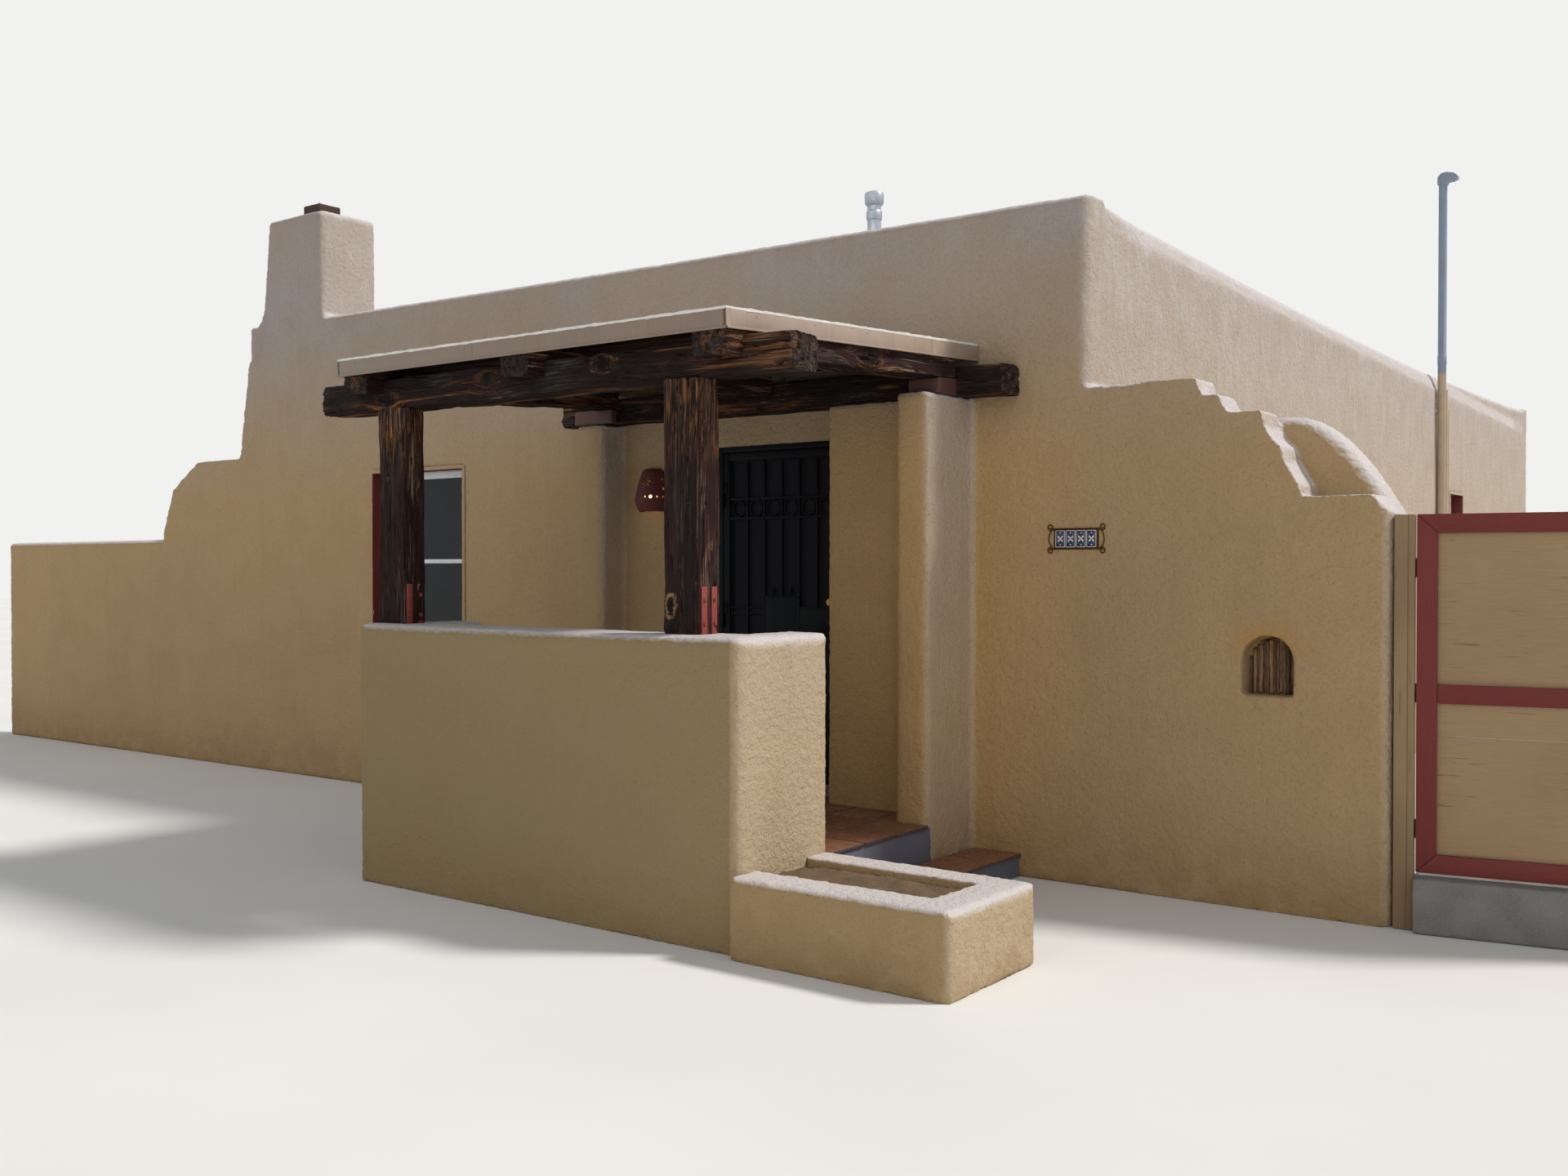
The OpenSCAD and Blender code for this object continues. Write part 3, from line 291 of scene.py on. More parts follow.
def outline(name, points, depth, axis="Y"):
    """Adds a flat shape from its outline in XZ, or XY where the axis is Z, extruded by depth along the axis."""
    corners = [(x, 0, z) if axis == "Y" else (x, z, 0) for x, z in points]
    piece = sketch(name, corners, faces=[list(range(len(points)))])
    push = (0, depth, 0) if axis == "Y" else (0, 0, depth)
    return edit(piece, everything, lambda: bpy.ops.mesh.extrude_region_move(TRANSFORM_OT_translate={"value": push}),
                outward)


def outward():
    """Turns the edited mesh's faces outward, after its doubles are merged."""
    everything()
    bpy.ops.mesh.remove_doubles(threshold=0.00005)
    bpy.ops.mesh.normals_make_consistent(inside=False)


def lathe(name, profile, steps=32, angle=math.tau, centre=(0, 0, 0)):
    """Spins a profile of radius and height round the vertical axis through a centre."""
    piece = sketch(name, [(r, 0, z) for r, z in profile], [(i, i + 1) for i in range(len(profile) - 1)])
    edit(piece, everything, lambda: bpy.ops.mesh.spin(steps=steps, angle=angle, center=(0, 0, 0), axis=(0, 0, 1)),
         outward)
    piece.location = centre
    return apply_place(piece)


def join(name, pieces):
    """Joins pieces into one mesh."""
    only(*pieces)
    if len(pieces) > 1:
        bpy.ops.object.join()
    piece = bpy.context.object
    piece.name = name
    return piece


def cad_copy(name, *nodes):
    """Joins copies of CAD nodes into one closed mesh with its doubles merged."""
    copies = []
    for node in nodes:
        piece = frame["nodes"][node].copy()
        piece.data = frame["nodes"][node].data.copy()
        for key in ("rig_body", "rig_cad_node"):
            del piece[key]
        piece.parent = None
        piece.hide_render = piece.hide_viewport = False
        piece.data.materials.clear()
        bpy.context.collection.objects.link(piece)
        copies.append(piece)
    return edit(join(name, copies), everything, lambda: bpy.ops.mesh.remove_doubles(threshold=0.0001))


def stand(piece, place, turn):
    """Turns a piece round the vertical axis and moves it to its place."""
    piece.location = place
    piece.rotation_euler = (0, 0, turn)
    return apply_place(piece)


def slope(piece, pivot):
    """Tips a piece that was modelled level about a pivot, up to the porch roof's slope."""
    piece.matrix_world = Matrix.Translation(pivot) @ Matrix.Rotation(ROOF_SLOPE, 4, "X") @ Matrix.Translation(-pivot)
    return apply_place(piece)


def fire(piece, value):
    """Gives a whole piece the number that its material shades it by."""
    fired = piece.data.attributes.new("fired", "FLOAT", "POINT")
    fired.data.foreach_set("value", [value] * len(piece.data.vertices))


def clouds(name, size, depth=2, ramp=()):
    """Makes a cloud texture for displacing, with an optional ramp of places and grey values."""
    texture = bpy.data.textures.new(name, "CLOUDS")
    texture.noise_scale = size
    texture.noise_depth = depth
    if ramp:
        texture.use_color_ramp = True
        points = texture.color_ramp.elements
        while len(points) < len(ramp):
            points.new(0.5)
        for point, (place, grey) in zip(points, ramp):
            point.position = place
            point.color = (grey, grey, grey, 1)
    return texture


def displace(piece, texture, depth, level=0.5, stretch=(1, 1, 1), group="", direction="NORMAL"):
    """Pushes a piece's surface in and out by a texture, which may be stretched along an axis."""
    guide = bpy.data.objects.new("stretch_guide", None)
    guide.scale = stretch
    bpy.context.collection.objects.link(guide)
    bpy.context.view_layer.update()
    modifier(piece, "DISPLACE", texture=texture, texture_coords="OBJECT", texture_coords_object=guide,
             strength=depth, mid_level=level, vertex_group=group, direction=direction)
    bpy.data.objects.remove(guide)
    bpy.data.textures.remove(texture)
    return piece


def weigh(piece, name, weight):
    """Gives a piece a vertex group whose weights come from a function of its points, given as rows of X, Y and Z."""
    spots = numpy.empty(len(piece.data.vertices) * 3)
    piece.data.vertices.foreach_get("co", spots)
    return add_group(piece, name, weight(spots.reshape(-1, 3).T))


def add_group(piece, name, weights):
    """Gives a piece a vertex group with these weights, kept between 0 and 1 in ten steps."""
    levels = numpy.round(10 * numpy.clip(weights, 0, 1))
    group = piece.vertex_groups.new(name=name)
    for level in range(1, 11):
        group.add(numpy.nonzero(levels == level)[0].tolist(), level / 10, "REPLACE")
    return group.name


def finish_piece(piece, name, body, slot, material, *nodes, smooth=40):
    """Names a finished piece, shades it and ties it to its body and CAD nodes. The slot is not used."""
    piece.name = name
    piece.data.name = name
    apply_place(piece)
    piece.vertex_groups.clear()
    if smooth:
        bpy.ops.object.shade_smooth_by_angle(angle=math.radians(smooth))
    if material is not None:
        piece.data.materials.clear()
        piece.data.materials.append(material)
    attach(piece, body)
    if nodes:
        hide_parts(*nodes)
    return piece


# Materials

def add_node(tree, kind, *values, out="", **settings):
    """Adds a node with its settings, fills or links its open inputs in order, and returns the output of that name.

    None leaves an input as it is, and a hex colour is turned to linear."""
    node = tree.nodes.new("ShaderNode" + kind)
    for name, value in settings.items():
        setattr(node, name, value)
    for socket, value in zip([socket for socket in node.inputs if socket.enabled], values):
        if isinstance(value, bpy.types.NodeSocket):
            tree.links.new(value, socket)
        elif value is not None:
            socket.default_value = linear(value) if isinstance(value, str) else value
    shown = [socket for socket in node.outputs if socket.enabled]
    return next((socket for socket in shown if socket.name == out), shown[0])


def new_material(name, roughness, metallic=0.0, specular=0.5):
    """Starts a material and returns it, what adds a node to it, and its object coordinates."""
    material = bpy.data.materials.new(name)
    material.use_nodes = True
    shader = material.node_tree.nodes["Principled BSDF"]
    for socket, value in (("Roughness", roughness), ("Metallic", metallic), ("Specular IOR Level", specular)):
        shader.inputs[socket].default_value = value
    add = functools.partial(add_node, material.node_tree)
    return material, add, add("TexCoord", out="Object")


def grain(add, place, size, stretch=(1, 1, 1), low=0.35, high=0.65, detail=3.0, twist=0.0):
    """A pattern of blotches of a size in metres, longer along the stretched axes, as a share from 0 to 1."""
    mapped = add("Mapping", place, None, None, [1 / (size * s) for s in stretch])
    return add("MapRange", add("TexNoise", mapped, 1.0, detail, None, None, twist), low, high)


def coat(add, tint, *coats):
    """Lays coats over a colour, each one a colour and the shares that, multiplied, say how much of it shows."""
    for over, share, *factors in coats:
        for factor in factors:
            share = add("Math", share, factor, operation="MULTIPLY")
        tint = add("Mix", share, tint, over, data_type="RGBA")
    return tint


def cover(material, tint, *bumps, **others):
    """Gives a material its colour, its bumps, each a height share and a depth in metres, and other shader inputs."""
    tree = material.node_tree
    normal = None
    for height, depth in bumps:
        normal = add_node(tree, "Bump", 1.0, depth, None, height, normal)
    for name, value in {"Base Color": tint, "Normal": normal, **others}.items():
        socket = tree.nodes["Principled BSDF"].inputs[name]
        if isinstance(value, bpy.types.NodeSocket):
            tree.links.new(value, socket)
        elif value is not None:
            socket.default_value = linear(value) if isinstance(value, str) else value
    return material


def lengthways(axis, stretch):
    """A scale for each axis that is 1, but another number along one."""
    return tuple(stretch if i == axis else 1.0 for i in range(3))


def shade(code, level, lift=0.0):
    """A linear colour, darker or paler by a level."""
    return tuple(min(1.0, c * level + lift) for c in code[:3]) + (1.0,)


def stucco_material(settings):
    """Sand-finished stucco under elastomeric paint: matt, gritty, bleached by the sun, with dust runs and cracks, and
    with painted light and shade.
    """
    material, add, place = new_material("sand_finish_stucco", 0.9, specular=0.2)
    across, deep, height = [add("SeparateXYZ", place, out=axis) for axis in "XYZ"]
    facing = add("NewGeometry", out="Normal")
    # Faces toward +X, where the key light falls, get paler paint: partly sun-bleached paint, partly painted sunlight
    sunny = add("MapRange", add("SeparateXYZ", facing, out="X"), 0.25, 0.8)
    # Tops facing the sky and the key light are drawn near white: a painted highlight
    tops = add("MapRange", add("VectorMath", facing, (0.35, 0, 0.94), operation="DOT_PRODUCT"), 0.4, 0.8)
    # Inside the niche the paler paint and the near-white tops are left off: painted shade
    low_stick, high_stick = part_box("niche_sticks")
    niche = ((low_stick.x + high_stick.x) / 2, FRONT + 0.06, (low_stick.z + high_stick.z) / 2)
    away = add("VectorMath", place, niche, operation="DISTANCE")
    out_of_niche_shade = add("MapRange", away, 0.19, 0.24)
    sunny = add("Math", sunny, out_of_niche_shade, operation="MULTIPLY")
    rim = add("MapRange", away, 0.26, 0.17)
    arch = add("MapRange", height, niche[2], high_stick.z)
    # Browner towards the bottom by low: painted warm light bounced from the ground. Greyer towards the top by high:
    # painted sky light
    low = add("MapRange", height, 3.1, 1.2)
    high = add("MapRange", height, 2.3, 3.6)
    lifted = add("MapRange", height, 0.9, 3.3)
    foot = add("MapRange", height, 0.4, 0.02)
    broad = grain(add, place, 1.5, detail=4, low=0.36, high=0.66, twist=0.6)
    patches = grain(add, place, 0.32, detail=5, low=0.42, high=0.7)
    runs = grain(add, place, 0.06, stretch=(1, 1, 16), low=0.5, high=0.72)
    specks = grain(add, place, settings.grit, low=0.5, high=0.66)
    scoured = grain(add, place, 0.09, stretch=(1, 1, 2.5), detail=6, low=0.46, high=0.66, twist=0.8)
    splash = grain(add, place, 0.12, detail=6, low=0.3, high=0.6)
    # Painted warm bounce light by the door, under the porch roof, and painted shade with a greenish cast on the porch's
    # low walls
    warm_bounce_light_box = (add("Math", across, 2.2, operation="GREATER_THAN"), add("MapRange", across, 3.95, 3.2),
              add("Math", deep, FRONT - 0.15, 0.45, operation="COMPARE"), add("MapRange", height, 3.0, 2.3))
    painted_shade_low_walls = (add("Math", across, 3.235, operation="LESS_THAN"),
                 add("Math", deep, FRONT - 1.3, operation="LESS_THAN"))
    tint = coat(add, settings.paint, (settings.bleached, broad, 0.22), (settings.stained, low, broad, 0.35),
                ("#A8A2A3", high, add("MapRange", broad, 0, 1, 0.6, 0.9)), ("#D9AF74", *warm_bounce_light_box, 0.5),
                ("#857B5C", *painted_shade_low_walls, 0.6), (coat(add, settings.bleached, (settings.faded, lifted)), sunny, 0.9),
                (settings.chalk_and_highlight, sunny, scoured, lifted, 0.22), (settings.stained, patches, 0.14),
                (settings.stained, runs, 0.08), (settings.stained, foot, splash, 0.5),
                (settings.stained, specks, 0.24), ("#B58A4A", rim, arch, 0.55),
                (settings.chalk_and_highlight, tops, out_of_niche_shade, 0.9))
    bent = add("TexNoise", place, 5.0, 5.0, out="Color")
    warped = add("VectorMath", bent, (0.12, 0.12, 0.12), place, operation="MULTIPLY_ADD")
    web = add("TexVoronoi", warped, 0.6, feature="DISTANCE_TO_EDGE")
    crack = add("Math", add("MapRange", web, 0.0018, 0.0), grain(add, place, 0.8, low=0.55, high=0.6),
                operation="MULTIPLY")
    tint = add("Mix", add("Math", crack, 0.2, operation="MULTIPLY"), tint, settings.stained, data_type="RGBA",
               blend_type="MULTIPLY")
    return cover(material, tint, (add("TexNoise", place, 1 / 0.035, 4.0), 0.014),
                 (add("TexNoise", place, 1 / settings.grit, 3.0, 0.7), 0.009))


def timber_material(name, settings, axis, worn=0.5, knots=(), scrape=None):
    """Hewn pine under a dark stain, weathered: long fibres, stain gone in streaks, grey ends, checks and knots.

    A scrape is the height from which a post has been rubbed bare. Knots are places and radii."""
    material, add, place = new_material(name, 0.85, specular=0.15)
    facing = add("NewGeometry", out="Normal")
    # Faces toward +X, where the key light falls, get more of the red stain and paler fibres: painted sunlight and
    # painted highlights on the grain
    sunny = add("MapRange", add("SeparateXYZ", facing, out="X"), 0.3, 0.8)
    eyes = []
    for centre, radius in knots:
        away = add("VectorMath", place, tuple(centre), operation="SUBTRACT")
        oval = add("VectorMath", away, lengthways(axis, 0.5 if scrape is None else 0.65), operation="MULTIPLY")
        gap = add("VectorMath", oval, operation="LENGTH")
        eyes.append((gap, radius))
        # The grain flows round a knot
        pull = add("MapRange", gap, 2.4 * radius, 0.4 * radius, None, 0.95, interpolation_type="SMOOTHSTEP")
        shift = add("VectorMath", away, lengthways(axis, 0.0), operation="MULTIPLY")
        shift = add("VectorMath", shift, pull, operation="SCALE")
        place = add("VectorMath", place, shift, operation="SUBTRACT")
    slow = lengthways(axis, 5.0)
    fibres = grain(add, place, 0.006, lengthways(axis, 40.0), 0.42, 0.62, 4)
    hairs = grain(add, place, 0.007, lengthways(axis, 60.0), 0.55, 0.62, 2, 0.3)
    streaks = grain(add, place, 0.028, lengthways(axis, 22.0), 0.48, 0.62, 5, 0.6)
    patches = grain(add, place, 0.17, slow, 0.47, 0.60, 5)
    greyed = grain(add, place, 0.09, slow, 0.54, 0.7, 5)
    pores = grain(add, place, 0.03, low=0.40, high=0.66, detail=6, twist=1.0)
    bare = add("Math", add("Math", streaks, patches, operation="MULTIPLY"), worn, operation="MULTIPLY", use_clamp=True)
    if scrape is not None:
        rubbed = add("MapRange", add("SeparateXYZ", place, out="Z"), scrape, scrape + 0.35)
        scuffs = grain(add, place, 0.010, (1, 1, 12), 0.46, 0.58, 4, 0.5)
        bare = add("Math", bare, add("Math", rubbed, scuffs, operation="MULTIPLY"), operation="MAXIMUM", use_clamp=True)
    bare = add("Math", bare, add("MapRange", fibres, 0, 1, 0.2, 1.1), operation="MULTIPLY", use_clamp=True)
    end = add("MapRange", add("Math", add("SeparateXYZ", facing, out="XYZ"[axis]), operation="ABSOLUTE"), 0.45, 0.8)
    tint = coat(add, settings.stain, (settings.red, patches, fibres, 0.9),
                (settings.red, sunny, add("MapRange", fibres, 0, 1, 0.3, 0.9)), (settings.worn, bare),
                ("#B59A80", hairs, add("MapRange", sunny, 0, 1, 0.06, 0.61), streaks),
                (settings.silver, greyed, fibres, 0.4), ("#504A45", end, pores, 0.6))
    for gap, radius in eyes:
        rough = add("Math", pores, 0.5 * radius, gap, operation="MULTIPLY_ADD")
        edge = add("Math", add("Math", rough, 1.1 * radius, operation="SUBTRACT"), operation="ABSOLUTE")
        rim = add("MapRange", edge, 0.3 * radius, 0.0)
        core = add("MapRange", rough, 0.95 * radius, 0.6 * radius)
        ring_coat = (settings.worn, rim, fibres, 0.6) if scrape is None else ("#A58460", rim, 0.8)
        tint = coat(add, tint, ring_coat, ("#120D0B", core, 0.9))
    checks = grain(add, place, 0.020, lengthways(axis, 50.0), 0.484, 0.5, 2)
    lines = add("Math", add("Math", checks, 2.0, operation="MULTIPLY"), 1.0, operation="PINGPONG")
    return cover(material, coat(add, tint, ("#100C0A", lines, 0.85)),
                 (add("Math", 1.0, lines, operation="SUBTRACT"), 0.006), (fibres, 0.004))


def red_paint_material(name, code, axis):
    """Brick red wood paint, satin, brushed along the board, rubbed thin on the grain."""
    material, add, place = new_material(name, 0.55, specular=0.35)
    brush = grain(add, place, 0.005, lengthways(axis, 22.0), 0.3, 0.7)
    fade = grain(add, place, 0.25, detail=5, low=0.42, high=0.7)
    return cover(material, coat(add, code, (shade(code, 0.62), brush, 0.35), (shade(code, 1.2), fade, 0.4)),
                 (brush, 0.0008))


def painted_metal(name, code, roughness=0.5, foot=None, front=None):
    """Brushed-on metal paint, satin, with faint runs and dust. A foot is another paint and the height it ends at.

    A front is a darker colour on the faces that look to the front, away from the key light: painted shade."""
    material, add, place = new_material(name, roughness, specular=0.4)
    tint = code
    if foot:
        level = add("MapRange", add("SeparateXYZ", place, out="Z"), foot[1], foot[1] + 0.03)
        tint = coat(add, foot[0], (tint, level))
    if front:
        front_shade = add("MapRange", add("SeparateXYZ", add("NewGeometry", out="Normal"), out="Y"), -0.3, -0.8)
        tint = coat(add, tint, (front, front_shade))
    dust = grain(add, place, 0.18, detail=6, low=0.4, high=0.72)
    runs = grain(add, place, 0.02, stretch=(1, 1, 9), low=0.5, high=0.75)
    return cover(material, coat(add, tint, ("#5C5046", dust, 0.14), ("#5C5046", runs, 0.10)),
                 (add("TexNoise", place, 8.0, 2.0), 0.004), (dust, 0.0006))


def bare_metal(name, code, roughness):
    """Galvanised or plated metal with a dull spangle."""
    material, add, place = new_material(name, roughness, metallic=1.0)
    spangle = add("SeparateXYZ", add("TexVoronoi", place, 1 / 0.012, out="Color"), out="X")
    dull = grain(add, place, 0.08, detail=5)
    dark = shade(code, 0.7)
    return cover(material, coat(add, code, (dark, spangle, 0.5), (dark, dull, 0.4)), (dull, 0.0008),
                 Roughness=add("MapRange", dull, 0, 1, roughness - 0.08, roughness + 0.2))


def mineral_material(name, code, roughness=0.85, size=0.01, depth=0.0015, contrast=0.4):
    """Concrete, mortar, clay or roof coating: matt, mottled and grainy."""
    material, add, place = new_material(name, roughness, specular=0.25)
    mottle = grain(add, place, size * 18, detail=6, low=0.4, high=0.68)
    specks = grain(add, place, size, low=0.45, high=0.75)
    return cover(material, coat(add, code, (shade(code, 0.6), mottle, contrast),
                                (shade(code, 1.2, 0.02), specks, contrast)), (mottle, depth * 2), (specks, depth))


def clay_tile_material(settings):
    """Sealed clay floor tiles: each fired to its own shade, with paler clouds and a dull shine."""
    material, add, place = new_material("sealed_clay_tile", 0.5, specular=0.4)
    fired = add("Attribute", attribute_name="fired", out="Fac")
    clouded = grain(add, place, 0.09, detail=5, low=0.42, high=0.68)
    worn = grain(add, place, 0.03, detail=6, low=0.5, high=0.72)
    nose = add("MapRange", add("SeparateXYZ", add("NewGeometry", out="Normal"), out="X"), 0.4, 0.8)
    tint = coat(add, "#623C2E", ("#9A6B4C", fired), (settings.clay, 0.45), ("#A5826A", clouded, 0.35),
                ("#4E332A", worn, 0.4), ("#42424C", nose, 0.8))
    return cover(material, tint, (clouded, 0.003), (worn, 0.001), Roughness=add("MapRange", worn, 0, 1, 0.38, 0.7))


def vinyl_material(settings):
    """White extruded window vinyl: smooth, satin, with dust in its corners."""
    material, add, place = new_material("white_vinyl", 0.35)
    dust = grain(add, place, 0.05, detail=6, low=0.45, high=0.75)
    return cover(material, coat(add, settings.vinyl, ("#B4AFA4", dust, 0.3)), (dust, 0.0003),
                 Roughness=add("MapRange", dust, 0, 1, 0.3, 0.55))


def glass_material():
    """Clear float glass with a film of dust, darker and cooler than the wall it stands in."""
    material, add, place = new_material("float_glass", 0.03, specular=0.3)
    film = grain(add, place, 0.2, detail=5, low=0.4, high=0.8)
    return cover(material, coat(add, "#3E4B52", ("#5C6166", film, 0.3)), IOR=1.3,
                 Roughness=add("MapRange", film, 0, 1, 0.02, 0.12), **{"Transmission Weight": 0.85})


def enamel_material(settings):
    """Black baked enamel on steel, satin, dusty on its ledges."""
    material, add, place = new_material("black_enamel", 0.6, specular=0.12)
    dust = grain(add, place, 0.07, detail=6, low=0.45, high=0.75)
    ledge = add("MapRange", add("SeparateXYZ", add("NewGeometry", out="Normal"), out="Z"), 0.4, 0.9)
    share = add("Math", dust, 0.08, ledge, operation="MULTIPLY_ADD", use_clamp=True)
    return cover(material, coat(add, settings.steel, ("#5B564E", share, 0.4)), (dust, 0.0004))


def screen_material():
    """Black perforated steel screen, fine holes drawn as a dark dotted weave."""
    material, add, place = new_material("perforated_screen", 0.75, specular=0.15)
    dots = add("MapRange", add("TexVoronoi", place, 1 / 0.006, None, None, None, 0.0), 0.25, 0.4)
    soft = grain(add, place, 0.3, detail=4)
    return cover(material, coat(add, "#07080A", ("#17191E", dots), ("#202228", soft, 0.3)), (dots, 0.0008))


def panel_material(name, code, run):
    """The wall's paint brushed on wood: its grain and small splits show, along the run that the stretch gives."""
    material, add, place = new_material(name, 0.7, specular=0.3)
    rays = grain(add, place, 0.006, run, 0.4, 0.72, 5)
    fade = grain(add, place, 0.4, detail=5, low=0.4, high=0.68)
    splits = grain(add, place, 0.012, run, 0.70, 0.74, 2)
    return cover(material, coat(add, code, ("#7E6748", rays, 0.22), ("#B39B78", fade, 0.25),
                                ("#6E593E", splits, 0.6)), (rays, 0.001), (splits, 0.001))


# Camera, floor and light

class STAGE_OT_adobe(bpy.types.Operator):
    """Sets the camera, a pale floor and soft light"""
    bl_idname = "adobe.stage"
    bl_label = "Stage"

    def execute(self, context):
        lens = bpy.data.cameras.new("camera")
        lens.sensor_width = 36
        lens.lens = 33.4
        camera = bpy.data.objects.new("camera", lens)
        camera.location = (7.255, -13.36, 1.70)
        aim = Vector((-0.6, 0.8, -math.tan(math.radians(0.74))))
        camera.rotation_euler = aim.to_track_quat("-Z", "Y").to_euler()
        context.collection.objects.link(camera)
        context.scene.camera = camera
        context.scene.view_settings.view_transform = "Standard"

        bpy.ops.object.select_all(action="DESELECT")
        bpy.ops.mesh.primitive_plane_add(size=160, location=(0, 0, -0.002))
        floor = context.object
        floor.name = "studio_floor"
        floor.data.materials.append(floor_material())

        sky = bpy.data.worlds.new("studio_light")
        context.scene.world = sky
        sky.use_nodes = True
        tree = sky.node_tree
        # The camera, gloss and glass see a plain pale backdrop, and the rest of the light comes from the sky
        seen = add_node(tree, "LightPath", out="Is Camera Ray")
        for ray in ("Is Glossy Ray", "Is Transmission Ray"):
            seen = add_node(tree, "Math", seen, add_node(tree, "LightPath", out=ray), operation="MAXIMUM")
        mixed = add_node(tree, "MixShader", seen, add_node(tree, "Background", "#EEF2F8", 0.44),
                         add_node(tree, "Background", "#F1F1F0", 1.0))
        tree.links.new(mixed, tree.nodes["World Output"].inputs["Surface"])

        for name, strength, spread, turn in (("key_light", 2.6, 9, (42, 0, 124)), ("fill_light", 0.5, 60, (74, 0, 14))):
            lamp = bpy.data.lights.new(name, "SUN")
            lamp.energy = strength
            lamp.angle = math.radians(spread)
            lamp.color = (1.0, 0.97, 0.92)
            shown = bpy.data.objects.new(name, lamp)
            shown.rotation_euler = [math.radians(a) for a in turn]
            context.collection.objects.link(shown)
        return {"FINISHED"}


def floor_material():
    """Pale studio floor, matt, with a faint unevenness."""
    material, add, place = new_material("pale_studio_floor", 0.9, specular=0.1)
    return cover(material, coat(add, "#E9E8E5", ("#EEEDEA", grain(add, place, 2.0))))


# Stuccoed walls

def outdoors(p, boxes):
    """Share from 0 in the room and at the fittings on a wall to 1 at a distance from them."""
    room = ((LEFT + 0.3 < p[0]) & (p[0] < RIGHT - 0.3) & (FRONT + 0.33 < p[1]) & (p[1] < REAR - 0.33) & (p[2] < ROOF))
    nearest = numpy.full(p.shape[1], 9.0)
    for low, high in boxes:
        gaps = [numpy.maximum(numpy.maximum(low[i] - p[i], p[i] - high[i]), 0) for i in range(3)]
        nearest = numpy.minimum(nearest, numpy.sqrt(sum(gap ** 2 for gap in gaps)))
    return numpy.where(room, 0.0, numpy.minimum(1.0, nearest / 0.3))


def shoulder(p, side, sign):
    """Share from 0 at the shoulder of a side wall's parapet to 1 at the top of its outer face, less at the corners."""
    rise = (p[2] - 3.566 + 0.0204 * (p[1] - FRONT)) / 0.14
    corner = numpy.clip(numpy.minimum(p[1] - FRONT, REAR - p[1]) / 0.6 - 0.3, 0, 1)
    return numpy.clip(rise, 0, 1) * numpy.clip(1 - sign * (side - p[0]) / 0.2, 0, 1) * corner


def weigh_arrises(piece, name, sharp):
    """Gives a vertex group that is full where a point stands out of its neighbours by the sharp distance."""
    mesh = piece.data
    spots = numpy.empty(len(mesh.vertices) * 3)
    mesh.vertices.foreach_get("co", spots)
    pairs = numpy.empty(len(mesh.edges) * 2, dtype=numpy.int64)
    mesh.edges.foreach_get("vertices", pairs)
    first, second = pairs.reshape(-1, 2).T
    ends, others = numpy.concatenate((first, second)), numpy.concatenate((second, first))
    count = numpy.bincount(ends, minlength=len(mesh.vertices))

    def around(values):
        return numpy.bincount(ends, weights=values[others], minlength=len(count)) / count

    bend = numpy.sqrt(sum((axis - around(axis)) ** 2 for axis in spots.reshape(-1, 3).T))
    for _ in range(3):
        bend = (bend + around(bend)) / 2
    return add_group(piece, name, bend / sharp)


def cut_off(piece, place, out):
    """Cuts away what lies past a plane, on the side that out points to, and closes the cut."""
    return edit(piece, everything, lambda: bpy.ops.mesh.bisect(plane_co=place, plane_no=out, use_fill=True,
                                                               clear_outer=True))


def trim(piece, place, out):
    """Takes away, with a large block, what lies past a plane. It is slower than cut_off and closes touching solids."""
    low = [0 if o > 0 else -30 for o in out]
    high = [0 if o < 0 else 30 for o in out]
    block = box("block", [a + b for a, b in zip(place, low)], [a + b for a, b in zip(place, high)])
    modifier(piece, "BOOLEAN", object=block, operation="DIFFERENCE", solver="EXACT", use_self=True)
    bpy.data.objects.remove(block)
    return piece


def plaster(name, settings, nodes, triangles, fine=1.0, boxes=(), ends=()):
    """Makes stuccoed masonry of CAD nodes: one soft skin with crumbly arrises and slow waves, cut at its ends."""
    piece = cad_copy(name, *nodes)
    spare = 0.2
    for place, out in ends:
        trim(piece, Vector(place) + spare * Vector(out), out)
    voxel = settings.voxel * fine * 1
    modifier(piece, "REMESH", mode="VOXEL", voxel_size=voxel, adaptivity=0)
    bends = weigh_arrises(piece, "bends", 0.16 * voxel)
    modifier(piece, "SMOOTH", factor=0.5, iterations=1, vertex_group=bends)
    displace(piece, clouds("arris_crumbs", 0.016, 2), settings.teeth, group=bends)
    displace(piece, clouds("arris_chips", 0.06, 2), 0.9 * settings.teeth, level=0.55, group=bends)
    for side, sign in ((RIGHT, 1), (LEFT, -1)):
        group = weigh(piece, "shoulder", lambda p: shoulder(p, side, sign))
        modifier(piece, "DISPLACE", direction="X", mid_level=0, strength=-sign * settings.shoulder, vertex_group=group)
    group = weigh(piece, "outside", lambda p: outdoors(p, boxes))
    displace(piece, clouds("slow_waves", 1.1, 1), settings.waviness, group=group)
    displace(piece, clouds("trowel_waves", 0.3, 2), 0.45 * settings.waviness, group=group)
    displace(piece, clouds("float_waves", 0.09, 2), 0.2 * settings.waviness, group=group)
    for place, out in ends:
        cut_off(piece, place, out)
    faces = sum(len(face.vertices) - 2 for face in piece.data.polygons)
    modifier(piece, "DECIMATE", ratio=min(1.0, triangles / faces))
    return piece


